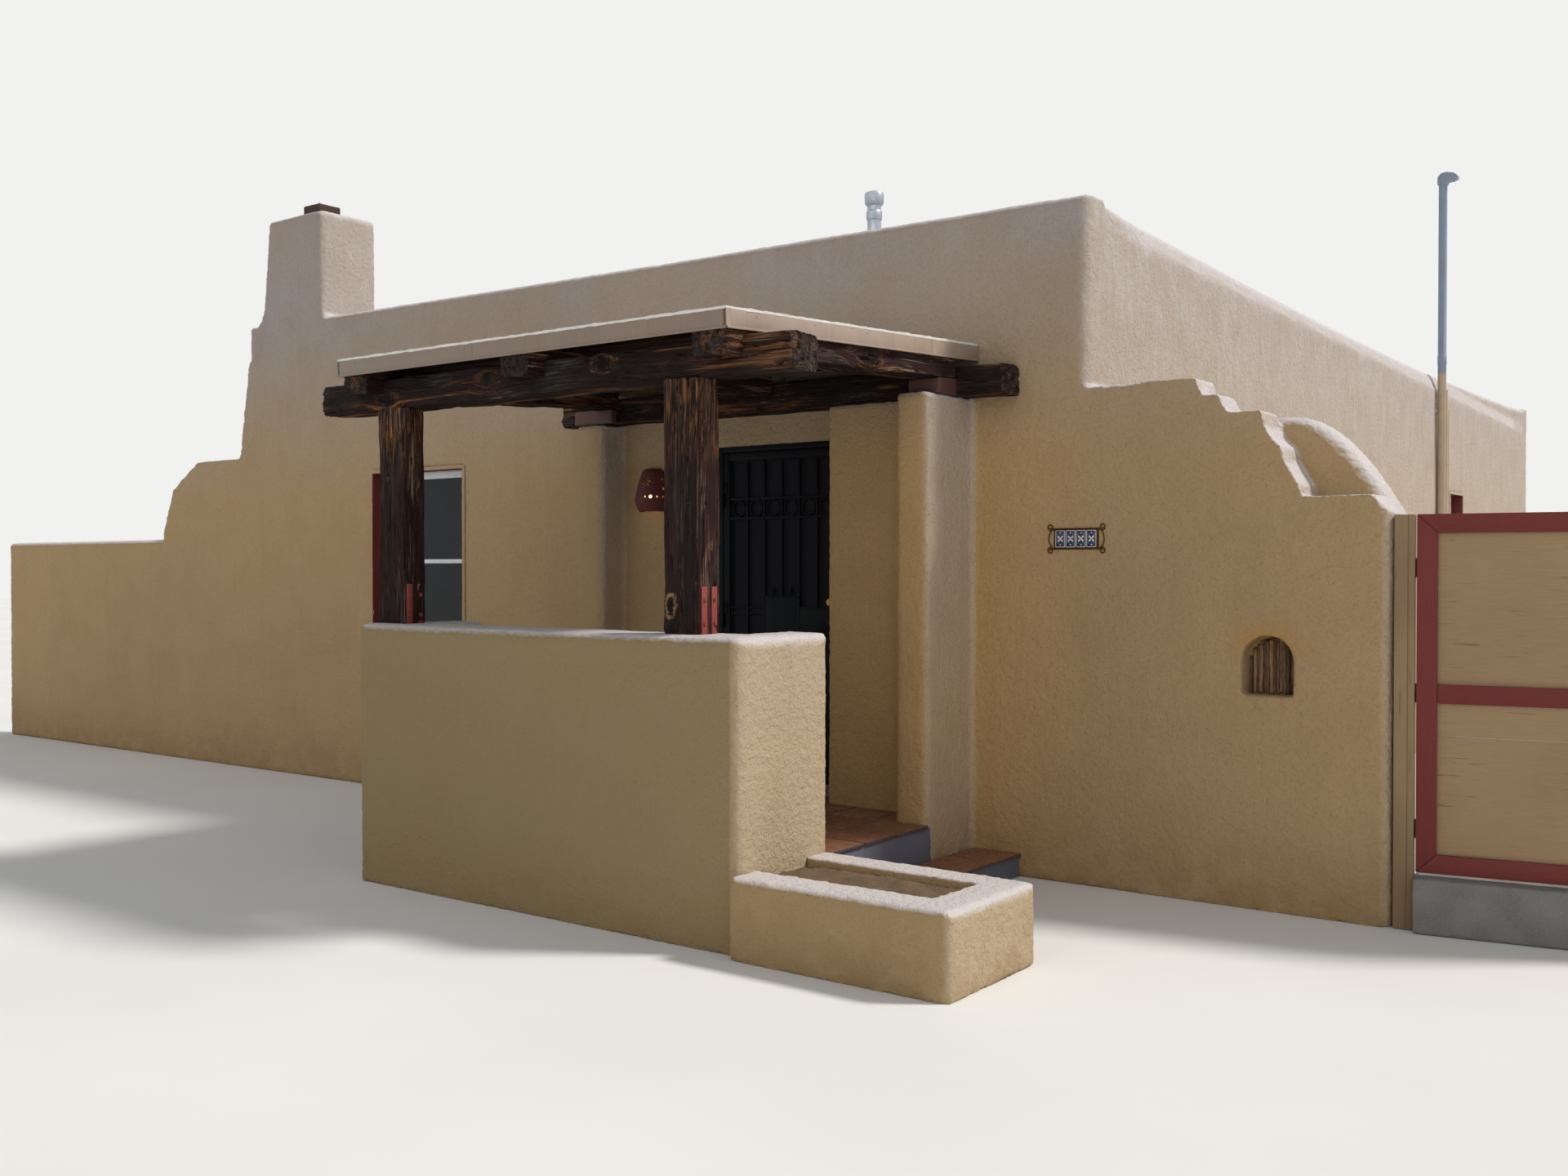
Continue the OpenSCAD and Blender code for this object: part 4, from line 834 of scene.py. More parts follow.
class WALLS_OT_adobe(bpy.types.Operator):
    """Builds the stuccoed walls, wing walls, piers and chimney"""
    bl_idname = "adobe.walls"
    bl_label = "Stuccoed walls"

    def execute(self, context):
        settings = context.scene.adobe_stucco
        stucco = stucco_material(settings)
        lamp, plaque, jambs, sticks = [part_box(n) for n in ("wall_lamp", "number_plaque", "door_frame", "niche_sticks")]
        front = ("front_wall_left", "front_wall_right", "wall_over_door", "chimney", "left_pier", "right_pier",
                 "entry_side_wall")
        sides, rear = ("right_wall", "left_wall"), ("rear_wall",)
        right_wing, left_wing = ("right_wing_wall", "curved_wing_wall"), ("left_wing_wall", "garden_wall")
        behind, right_end, left_end = (0, FRONT + 0.7, 0), (RIGHT + 0.3, 0, 0), (LEFT - 0.3, 0, 0)
        to_rear, to_front, to_right, to_left = (0, 1, 0), (0, -1, 0), (1, 0, 0), (-1, 0, 0)
        # Each row: name, nodes it replaces, neighbours it is shaped with, triangles, fineness, fittings, ends
        masonry = (
            ("front_walls", front, (*sides, *right_wing, *left_wing), 190000, 1.0, (lamp, plaque, jambs),
             ((behind, to_rear), (right_end, to_right), (left_end, to_left))),
            ("side_and_rear_walls", (*sides, *rear), front[:2], 130000, 1.0, (), ((behind, to_front),)),
            ("right_wing_walls", right_wing, ("front_wall_right", "right_wall"), 150000, 0.62, (sticks,),
             ((right_end, to_left),)),
            ("left_wing_walls", left_wing, ("front_wall_left", "left_wall"), 50000, 1.0, (), ((left_end, to_right),)),
            ("porch_walls", ("porch_wall_front", "porch_wall_right", "porch_wall_left"), (), 110000, 0.78, (), ()),
            ("planter_walls", ("planter",), (), 30000, 0.9, (), ()))
        for name, nodes, neighbours, triangles, fine, boxes, ends in masonry:
            piece = plaster(name, settings, (*nodes, *neighbours), triangles, fine, boxes, ends)
            finish_piece(piece, name, "house", "stucco", stucco, *nodes, smooth=60)
        return {"FINISHED"}


# Portal

def timber(name, low, high, axis, settings, seed, ragged=0.03, knots=()):
    """Makes an old hewn timber along an axis, with raised grain, open checks, worn arrises and ragged ends."""
    step = settings.pitch * 1
    piece = grid_box(name, low, high, [step * s for s in lengthways(axis, 3.2)])
    low, high = Vector(low), Vector(high)
    across = [i for i in range(3) if i != axis]

    def arris(p):
        return 1 - numpy.max([numpy.minimum(p[i] - low[i], high[i] - p[i]) for i in across], axis=0) / 0.014

    def knot(p):
        best = numpy.zeros(p.shape[1])
        for place, reach in knots:
            away = [(p[i] - place[i]) * (0.7 if i == axis else 1.0) for i in range(3)]
            best = numpy.maximum(best, 1 - sum(gap ** 2 for gap in away) / reach ** 2)
        return best

    group = weigh(piece, "arrises", arris)
    modifier(piece, "SMOOTH", factor=0.8, iterations=5, vertex_group=group)
    shift = Vector((seed * 3.17, seed * 1.31, seed * 2.23))
    piece.location = shift
    bpy.context.view_layer.update()
    displace(piece, clouds("bow", 0.7, 1), 0.018)
    displace(piece, clouds("hewn_faces", 0.09, 2), 0.016, stretch=lengthways(axis, 3.5))
    displace(piece, clouds("raised_grain", 0.016, 2), settings.relief, stretch=lengthways(axis, 12.0))
    displace(piece, clouds("checks", 0.035, 1, ((0, 1), (0.455, 1), (0.475, 0), (0.495, 1), (1, 1))), 0.014, level=1.0,
             stretch=lengthways(axis, 24.0))
    if knots:
        group = weigh(piece, "knots", knot)
        displace(piece, clouds("knot_swell", 0.05, 3), 0.03, level=0.25, group=group)
    if ragged:
        for side, sign in ((low, -1), (high, 1)):
            group = weigh(piece, "end", lambda p: 1 - numpy.abs(p[axis] - side[axis]) / 0.07)
            displace(piece, clouds("ragged_end", 0.028, 3), sign * ragged, level=0.85, group=group,
                     direction="XYZ"[axis])
    piece.location = (0, 0, 0)
    return piece


class PORTAL_OT_adobe(bpy.types.Operator):
    """Builds the posts, beams, joists, blocks and straps of the portal"""
    bl_idname = "adobe.portal"
    bl_label = "Portal timbers"

    def execute(self, context):
        settings = context.scene.adobe_timber
        low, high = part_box("joists")
        joist_knot = (Vector((high.x, low.y + 1.15, low.z + 0.06 + 1.15 * math.tan(ROOF_SLOPE))), 0.06)
        deep = timber_material("stained_joist_timber", settings, 1, worn=1.9, knots=(joist_knot,))
        low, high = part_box("post_right")
        knot = (Vector((low.x + 0.045, low.y, low.z + 0.13)), 0.05)
        upright = timber_material("stained_post_timber", settings, 2, worn=0.06, knots=((knot[0], 0.034),),
                                  scrape=high.z - 0.45)
        low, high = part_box("front_beam")
        knots = [(Vector((low.x + share * (high.x - low.x), low.y, low.z + up)), 0.045)
                 for share, up in ((0.17, 0.05), (0.42, 0.10), (0.66, 0.11))]
        cross = timber_material("stained_beam_timber", settings, 0, worn=1.5, knots=knots)
        timbers = (("post_right", 2, 1, 0.0, (knot,), upright), ("post_left", 2, 2, 0.0, (), upright),
                   ("front_beam", 0, 3, 0.03, knots, cross), ("rear_beam", 0, 4, 0.03, (), cross))
        for node, axis, seed, ragged, eyes, material in timbers:
            piece = timber(node, *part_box(node), axis, settings, seed, ragged, eyes)
            finish_piece(piece, node + "_timber", "house", "old_timber", material, node)
        self.joists(settings, deep)
        self.blocks(context)
        self.straps(context)
        return {"FINISHED"}

    def joists(self, settings, material):
        low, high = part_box("joists")
        run = (high.y - low.y) / math.cos(ROOF_SLOPE)
        depth = high.z - low.z - (high.y - low.y) * math.tan(ROOF_SLOPE)
        width, pitch = 0.2, 1.265
        made = []
        for i in range(3):
            x = high.x - width - i * pitch
            knots = [(Vector((x + width, low.y + 1.15, low.z + 0.06)), 0.075)] if i == 0 else []
            piece = timber("joist", (x, low.y, low.z), (x + width, low.y + run - 0.01, low.z + depth), 1, settings,
                           5 + i, ragged=0.025, knots=knots)
            made.append(slope(piece, Vector((x, low.y, low.z))))
        finish_piece(join("joists", made), "joist_timbers", "house", "old_timber", material, "joists")

    def blocks(self, context):
        paint = red_paint_material("red_stained_block", linear("#563A31"), 0)
        piece = cad_copy("spacer_blocks", "spacer_blocks")
        edit(piece, everything, lambda: bpy.ops.mesh.dissolve_limited(angle_limit=0.02))
        modifier(piece, "BEVEL", width=0.006, segments=2, limit_method="ANGLE")
        modifier(piece, "SUBSURF", subdivision_type="SIMPLE", levels=3, render_levels=3)
        displace(piece, clouds("sawn", 0.03, 3), 0.006, stretch=(6, 1, 1))
        finish_piece(piece, "spacer_block_timbers", "house", "red_wood", paint, "spacer_blocks")

    def straps(self, context):
        paint = painted_metal("red_strap_steel", linear("#93413C"))
        source = frame["nodes"]["post_straps"].data
        low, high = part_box("post_straps")
        made = []
        for x in sorted({round(v.co.x, 4) for v in source.vertices})[::2]:
            for y in (low.y, high.y - 0.038):
                made.append(box("strap", (x, y, low.z), (x + 0.006, y + 0.038, high.z), 0.0012))
                for z in (low.z + 0.05, low.z + 0.16):
                    made.append(rod("bolt_washer", (x + 0.005, y + 0.019, z), (x + 0.0085, y + 0.019, z), 0.0115, 20))
                    head = rod("bolt_head", (x + 0.0085, y + 0.019, z), (x + 0.0155, y + 0.019, z), 0.0085, 6)
                    made.append(modifier(head, "BEVEL", width=0.001, segments=1, limit_method="ANGLE"))
        finish_piece(join("straps", made), "strap_bolts", "house", "red_steel", paint, "post_straps", smooth=30)


# Porch roof

class ROOF_OT_adobe(bpy.types.Operator):
    """Builds the porch roof, the roof deck's coating, and what stands on the roof"""
    bl_idname = "adobe.roof"
    bl_label = "Roofs"

    def execute(self, context):
        settings = context.scene.adobe_roof
        low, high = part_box("porch_roof")
        self.pivot = Vector((low.x, low.y, low.z))
        self.run = (high.y - low.y) / math.cos(ROOF_SLOPE)
        self.deck_boards(settings, low, high)
        self.fascia(settings, low, high)
        self.main_deck(settings)
        self.vent()
        self.flue()
        return {"FINISHED"}

    def deck_boards(self, settings, low, high):
        chance = random.Random(4)
        base = low.z
        made, y = [], low.y + 0.002
        while y < low.y + self.run - 0.02:
            end = min(y + settings.board_w - 0.003, low.y + self.run - 0.004)
            lift = chance.uniform(0, 0.0015)
            made.append(box("board", (low.x + 0.002, y, base + lift), (high.x - 0.002, end, base + 0.019 + lift),
                            0.0015, 1))
            y += settings.board_w
        under = timber_material("stained_roof_boards", bpy.context.scene.adobe_timber, 0, worn=0.5)
        boards = slope(join("boards", made), self.pivot)
        finish_piece(boards, "porch_roof_boards", "house", "deck_underside", under, "porch_roof")
        top = grid_box("membrane", (low.x, low.y, base + 0.021), (high.x, low.y + self.run, base + 0.055),
                       (0.04, 0.04, 0.04))
        displace(top, clouds("membrane_waves", 0.25, 2), 0.006, direction="Z")
        white = mineral_material("white_roof_coating", settings.coating, 0.8, 0.012, 0.0012, 0.3)
        made = [slope(top, self.pivot)]
        edges = (((low.x - 0.021, low.y - 0.021), (high.x + 0.021, low.y + 0.012)),
                 ((low.x - 0.021, low.y - 0.02), (low.x + 0.012, low.y + self.run - 0.01)),
                 ((high.x - 0.012, low.y - 0.02), (high.x + 0.021, low.y + self.run - 0.01)))
        for (x0, y0), (x1, y1) in edges:
            lip = grid_box("lip", (x0, y0, base + 0.052), (x1, y1, base + 0.052 + settings.lip), (0.012, 0.012, 0.006))
            displace(lip, clouds("ragged_lip", 0.03, 3), 0.012)
            displace(lip, clouds("drips", 0.012, 2), 0.005)
            made.append(slope(lip, self.pivot))
        finish_piece(join("coating", made), "porch_roof_coating", "house", "roof_coating", white)

    def fascia(self, settings, low, high):
        # The fascia's front faces get a darker colour: painted shade
        paint = painted_metal("painted_fascia_metal", settings.fascia, 0.45, front="#8A796B")
        thick, tall = 0.02, 0.085
        z1 = low.z + 0.054
        z0 = z1 - tall
        x0, x1, y0 = low.x - thick, high.x + thick, low.y - thick
        y1 = low.y + self.run - 0.006
        made = []
        walls = (((x0, y0, z0), (x1, low.y, z1)), ((x0, y0, z0), (low.x, y1, z1)), ((high.x, y0, z0), (x1, y1, z1)))
        for start, end in walls:
            made.append(box("fascia", start, end, 0.0015))
        hems = (((x0 - 0.004, y0 - 0.004, z0 - 0.002), (x1 + 0.004, y0 + 0.004, z0 + 0.008)),
                ((x0 - 0.004, y0 - 0.004, z0 - 0.002), (x0 + 0.004, y1, z0 + 0.008)),
                ((x1 - 0.004, y0 - 0.004, z0 - 0.002), (x1 + 0.004, y1, z0 + 0.008)))
        for start, end in hems:
            made.append(box("hem", start, end, 0.0015))
        laps = [((x, y0 - 0.0022, z0 + 0.006), (x + 0.06, y0 + 0.002, z1 - 0.001)) for x in (x0 + 1.05, x0 + 2.25)]
        laps += [((x1 - 0.002, y, z0 + 0.006), (x1 + 0.0022, y + 0.05, z1 - 0.001)) for y in (low.y + 1.72,)]
        laps += [((x1 - 0.003, y0 - 0.0025, z0), (x1 + 0.0025, y0 + 0.03, z1))]
        for start, end in laps:
            made.append(box("lap", start, end, 0.0006, 1))
        for x in [x0 + 0.15 + 0.45 * i for i in range(6)]:
            made.append(rod("nail", (x, y0 + 0.001, z1 - 0.02), (x, y0 - 0.002, z1 - 0.02), 0.004, 10))
        for y in [low.y + 0.2 + 0.45 * i for i in range(5)]:
            for x, out in ((x0 + 0.001, x0 - 0.002), (x1 - 0.001, x1 + 0.002)):
                made.append(rod("nail", (x, y, z1 - 0.02), (out, y, z1 - 0.02), 0.004, 10))
        piece = slope(join("fascia", made), self.pivot)
        finish_piece(piece, "fascia_metalwork", "house", "fascia_metal", paint, "porch_fascia", smooth=30)

    def main_deck(self, settings):
        low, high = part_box("roof_deck")
        piece = grid_box("deck", low, high, (0.16, 0.16, 0.1))
        displace(piece, clouds("deck_waves", 1.3, 3), 0.016, direction="Z", level=0.9)
        white = mineral_material("weathered_roof_coating", settings.coating, 0.85, 0.02, 0.002, 0.5)
        finish_piece(piece, "roof_deck_coating", "house", "roof_coating", white, "roof_deck")

    def vent(self):
        low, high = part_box("roof_vent")
        centre = (low + high) / 2
        base, top, r = low.z, high.z, 0.0525
        skirt = [(0.16, 0), (0.155, 0.006), (0.09, 0.04), (r + 0.012, 0.11), (r + 0.008, 0.125), (r, 0.127)]
        pipe = [(r, top - base - 0.22), (r + 0.006, top - base - 0.215), (r + 0.0085, top - base - 0.2),
                (r + 0.0085, top - base - 0.16), (r + 0.006, top - base - 0.15), (r, top - base - 0.145)]
        cap = [(r, top - base - 0.11), (r + 0.012, top - base - 0.105), (r + 0.02, top - base - 0.09),
               (r + 0.021, top - base - 0.03), (r + 0.016, top - base - 0.012), (r - 0.01, top - base - 0.001),
               (0, top - base)]
        piece = lathe("vent", skirt + pipe + cap, 40, centre=(centre.x, centre.y, base))
        seams = [ring("seam", (centre.x, centre.y, base + z), r + 0.001, 0.0016, sides=(40, 6)) for z in (0.4, 0.75)]
        metal = bare_metal("galvanised_steel", linear("#B3BAC4"), 0.38)
        finish_piece(join("vent", [piece, *seams]), "roof_vent_pipe", "house", "galvanized", metal, "roof_vent")

    def flue(self):
        low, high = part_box("chimney_flue")
        piece = box("flue", low, high, 0.012, 3)
        edit(piece, lambda: pick("faces", lambda face: face.normal.z > 0.9),
             lambda: bpy.ops.mesh.inset(thickness=0.018),
             lambda: bpy.ops.mesh.extrude_region_move(TRANSFORM_OT_translate={"value": (0, 0, -0.26)}))
        modifier(piece, "SUBSURF", subdivision_type="SIMPLE", levels=3, render_levels=3)
        displace(piece, clouds("fired_clay", 0.03, 2), 0.004)
        clay = mineral_material("sooty_flue_clay", linear("#4B3A30"), 0.85, 0.006, 0.001, 0.7)
        finish_piece(piece, "chimney_flue_tile", "house", "flue_tile", clay, "chimney_flue")


# Porch floor, step, sills and planting bed

def tiles(name, low, high, settings, seed):
    """Lays clay tiles between two corners, from the high X end, each with its own shade, tilt and rounding."""
    chance = random.Random(seed)
    pitch = settings.tile + settings.joint
    made, x = [], high[0]
    while x > low[0] + 0.03:
        y = high[1]
        while y > low[1] + 0.03:
            x0, y0 = max(low[0], x - settings.tile), max(low[1], y - settings.tile)
            lift = chance.uniform(-0.0015, 0.0015)
            tile = box("tile", (x0, y0, low[2]), (x, y, high[2] + lift), 0.005, 3)
            fire(tile, chance.random())
            made.append(tile)
            y -= pitch
        x -= pitch
    return join(name, made)


class FLOOR_OT_adobe(bpy.types.Operator):
    """Lays the tiled porch floor and step, the sills, the floor slab and the planter's soil"""
    bl_idname = "adobe.floor"
    bl_label = "Floors and steps"

    def execute(self, context):
        settings = context.scene.adobe_floor
        clay = clay_tile_material(settings)
        riser = painted_metal("blue_grey_riser_paint", settings.riser, 0.7)
        mortar = mineral_material("grey_mortar", linear("#9A9184"), 0.9, 0.004, 0.001, 0.4)
        concrete = mineral_material("cast_concrete", linear("#84827E"), 0.85, 0.008, 0.0015, 0.5)
        low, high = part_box("porch_floor")
        nose = 0.014
        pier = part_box("right_pier")[0].y
        fields = (((low.x, low.y), (high.x + nose, pier - 0.004), 11),
                  ((low.x, pier + 0.004), (high.x - 0.03, high.y), 12))
        piece = join("floor", [tiles("floor", (*start, high.z - 0.02), (*end, high.z), settings, seed)
                               for start, end, seed in fields])
        finish_piece(piece, "porch_floor_tiles", "house", "saltillo", clay, "porch_floor", smooth=50)
        bed = box("bed", (low.x, low.y, 0.002), (high.x - 0.004, high.y, high.z - 0.005), 0.003)
        finish_piece(bed, "porch_floor_mortar", "house", "saltillo", mortar)
        wide = box("face", (high.x - 0.012, low.y + 0.36, 0.001), (high.x, high.y, high.z - 0.02), 0.003)
        finish_piece(wide, "porch_riser", "house", "saltillo", riser)
        low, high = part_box("lower_step")
        piece = tiles("step", (low.x, low.y, high.z - 0.02), (high.x + nose, high.y, high.z), settings, 13)
        finish_piece(piece, "step_tiles", "house", "saltillo", clay, "lower_step", smooth=50)
        body = box("step_body", (low.x, low.y, 0.001), (high.x, high.y, high.z - 0.02), 0.003)
        finish_piece(body, "step_riser", "house", "saltillo", riser)
        self.sills(concrete)
        self.soil()
        return {"FINISHED"}

    def sills(self, concrete):
        for node, name in (("door_sill", "door_sill_slab"), ("gate_sill", "gate_sill_slab")):
            piece = cad_copy(name, node)
            edit(piece, everything, lambda: bpy.ops.mesh.dissolve_limited(angle_limit=0.02))
            modifier(piece, "BEVEL", width=0.008, segments=2, limit_method="ANGLE")
            modifier(piece, "REMESH", mode="VOXEL", voxel_size=0.012)
            displace(piece, clouds("cast_face", 0.06, 3), 0.006)
            modifier(piece, "DECIMATE", ratio=0.35)
            finish_piece(piece, name, "house", "concrete", concrete, node)
        low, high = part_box("floor_slab")
        piece = grid_box("slab", low, high, (0.5, 0.5, 0.2))
        screed = mineral_material("floor_screed", linear("#8C857A"), 0.7, 0.01, 0.0008, 0.35)
        finish_piece(piece, "room_floor", "house", "concrete", screed, "floor_slab")

    def soil(self):
        low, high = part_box("planter")
        base = high.z - 0.14
        piece = grid_box("soil", (low.x + 0.01, low.y + 0.17, base - 0.03),
                         (high.x - 0.17, high.y - 0.17, base + 0.105), (0.02, 0.02, 0.0675))
        displace(piece, clouds("soil_heaps", 0.22, 2), 0.035, direction="Z")
        displace(piece, clouds("clods", 0.035, 3), 0.02, direction="Z")
        earth = mineral_material("gravelly_soil", linear("#7A6650"), 0.95, 0.006, 0.004, 0.8)
        finish_piece(piece, "planter_soil", "house", "stucco", earth)


# Windows

# Each window's glass and the way it faces, in degrees from the front
WINDOWS = (("front_window_glass", 0), ("rear_window_glass", 180), ("right_window_glass", 90),
           ("left_window_glass", 270))


def window_place(glass, turn):
    """Where a window's opening starts, its width and height, from the box of its panes."""
    low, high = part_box(glass)
    inset = 0.022 + 0.055
    if turn in (0, 180):
        width = high.x - low.x + 2 * inset
        x = low.x - inset if turn == 0 else high.x + inset
        y = FRONT if turn == 0 else REAR
    else:
        width = high.y - low.y + 2 * inset
        y = low.y - inset if turn == 90 else high.y + inset
        x = RIGHT if turn == 90 else LEFT
    return Vector((x, y, low.z - inset)), width, high.z - low.z + 2 * inset


class WINDOWS_OT_adobe(bpy.types.Operator):
    """Builds the windows' casings, frames, sashes and glass"""
    bl_idname = "adobe.windows"
    bl_label = "Windows"

    def execute(self, context):
        settings = context.scene.adobe_joinery
        casings, frames = [], []
        for glass, turn in WINDOWS:
            start, width, height = window_place(glass, turn)
            for piece, group in ((self.casing(width, height, settings), casings), (self.sashes(width, height), frames)):
                group.append(stand(piece, start, math.radians(turn)))
        paint = red_paint_material("red_casing_paint", settings.red_paint, 2)
        finish_piece(join("casings", casings), "window_casing_boards", "house", "red_wood", paint, "window_casings",
                     smooth=30)
        finish_piece(join("sashes", frames), "window_sashes", "house", "white_vinyl", vinyl_material(settings),
                     "window_frames", smooth=30)
        self.plaster_edges(context)
        glass = glass_material()
        for node, _ in WINDOWS:
            slots = frame["nodes"][node].data.materials
            slots.clear()
            slots.append(glass)
        return {"FINISHED"}

    def casing(self, w, h, settings):
        depth, t, gap, edge = 0.18, 0.022, 0.0008, settings.board_edge
        parts = [box("sill", (0, -0.004, 0), (w, depth, t), edge), box("head", (0, -0.002, h - t), (w, depth, h), edge),
                 box("jamb", (0, 0, t + gap), (t, depth, h - t - gap), edge),
                 box("jamb", (w - t, 0, t + gap), (w, depth, h - t - gap), edge)]
        return join("casing", parts)

    def plaster_edges(self, context):
        """Runs the wall's plaster over the casings' front edges, as plasterers do."""
        made = []
        for glass, turn in WINDOWS:
            start, w, h = window_place(glass, turn)
            wide, y0, y1 = 0.021, -0.005, 0.012
            level, upright = (0.02, 0.009, 0.009), (0.009, 0.009, 0.02)
            rows = ((-0.006, -0.006, w + 0.006, wide, level), (-0.006, h - wide, w + 0.006, h + 0.006, level),
                    (-0.006, wide - 0.002, wide, h - wide + 0.002, upright),
                    (w - wide, wide - 0.002, w + 0.006, h - wide + 0.002, upright))
            bars = [grid_box("edge", (x0, y0, z0), (x1, y1, z1), pitch) for x0, z0, x1, z1, pitch in rows]
            made.append(stand(join("edges", bars), start, math.radians(turn)))
        piece = join("edges", made)
        displace(piece, clouds("plaster_edge", 0.03, 2), 0.006)
        stucco = bpy.data.materials.get("sand_finish_stucco") or stucco_material(context.scene.adobe_stucco)
        finish_piece(piece, "casing_plaster", "house", "stucco", stucco, smooth=60)

    def sashes(self, w, h):
        t, y0, deep = 0.022, 0.11, 0.07
        x0, x1, z0, z1 = t, w - t, t, h - t
        edge, rim, sash = 0.002, 0.025, 0.030
        middle = (z0 + z1) / 2
        parts = []

        def four(a, b, c, d, ya, yb, width):
            """Frames an opening with two rails and two stiles."""
            parts.extend([box("rail", (a, ya, c), (b, yb, c + width), edge),
                          box("rail", (a, ya, d - width), (b, yb, d), edge),
                          box("stile", (a, ya, c + width), (a + width, yb, d - width), edge),
                          box("stile", (b - width, ya, c + width), (b, yb, d - width), edge)])

        four(x0, x1, z0, z1, y0, y0 + deep, rim)
        four(x0 + rim, x1 - rim, middle - 0.014, z1 - rim, y0 + 0.008, y0 + 0.034, sash)
        four(x0 + rim, x1 - rim, z0 + rim, middle + 0.014, y0 + 0.036, y0 + 0.062, sash)
        four(x0 + 0.010, x1 - 0.010, z0 + 0.010, z1 - 0.010, y0 - 0.004, y0 + 0.004, 0.007)
        for x in (x0 + 0.3 * (x1 - x0), x0 + 0.7 * (x1 - x0)):
            parts.append(box("latch", (x - 0.02, y0 + 0.030, middle + 0.010), (x + 0.02, y0 + 0.045, middle + 0.022),
                             0.003))
        parts.append(box("pull", (x0 + 0.35 * (x1 - x0), y0 + 0.028, z0 + rim + 0.010),
                         (x1 - 0.35 * (x1 - x0), y0 + 0.038, z0 + rim + 0.018), 0.002))
        return join("sashes", parts)


# Entry door

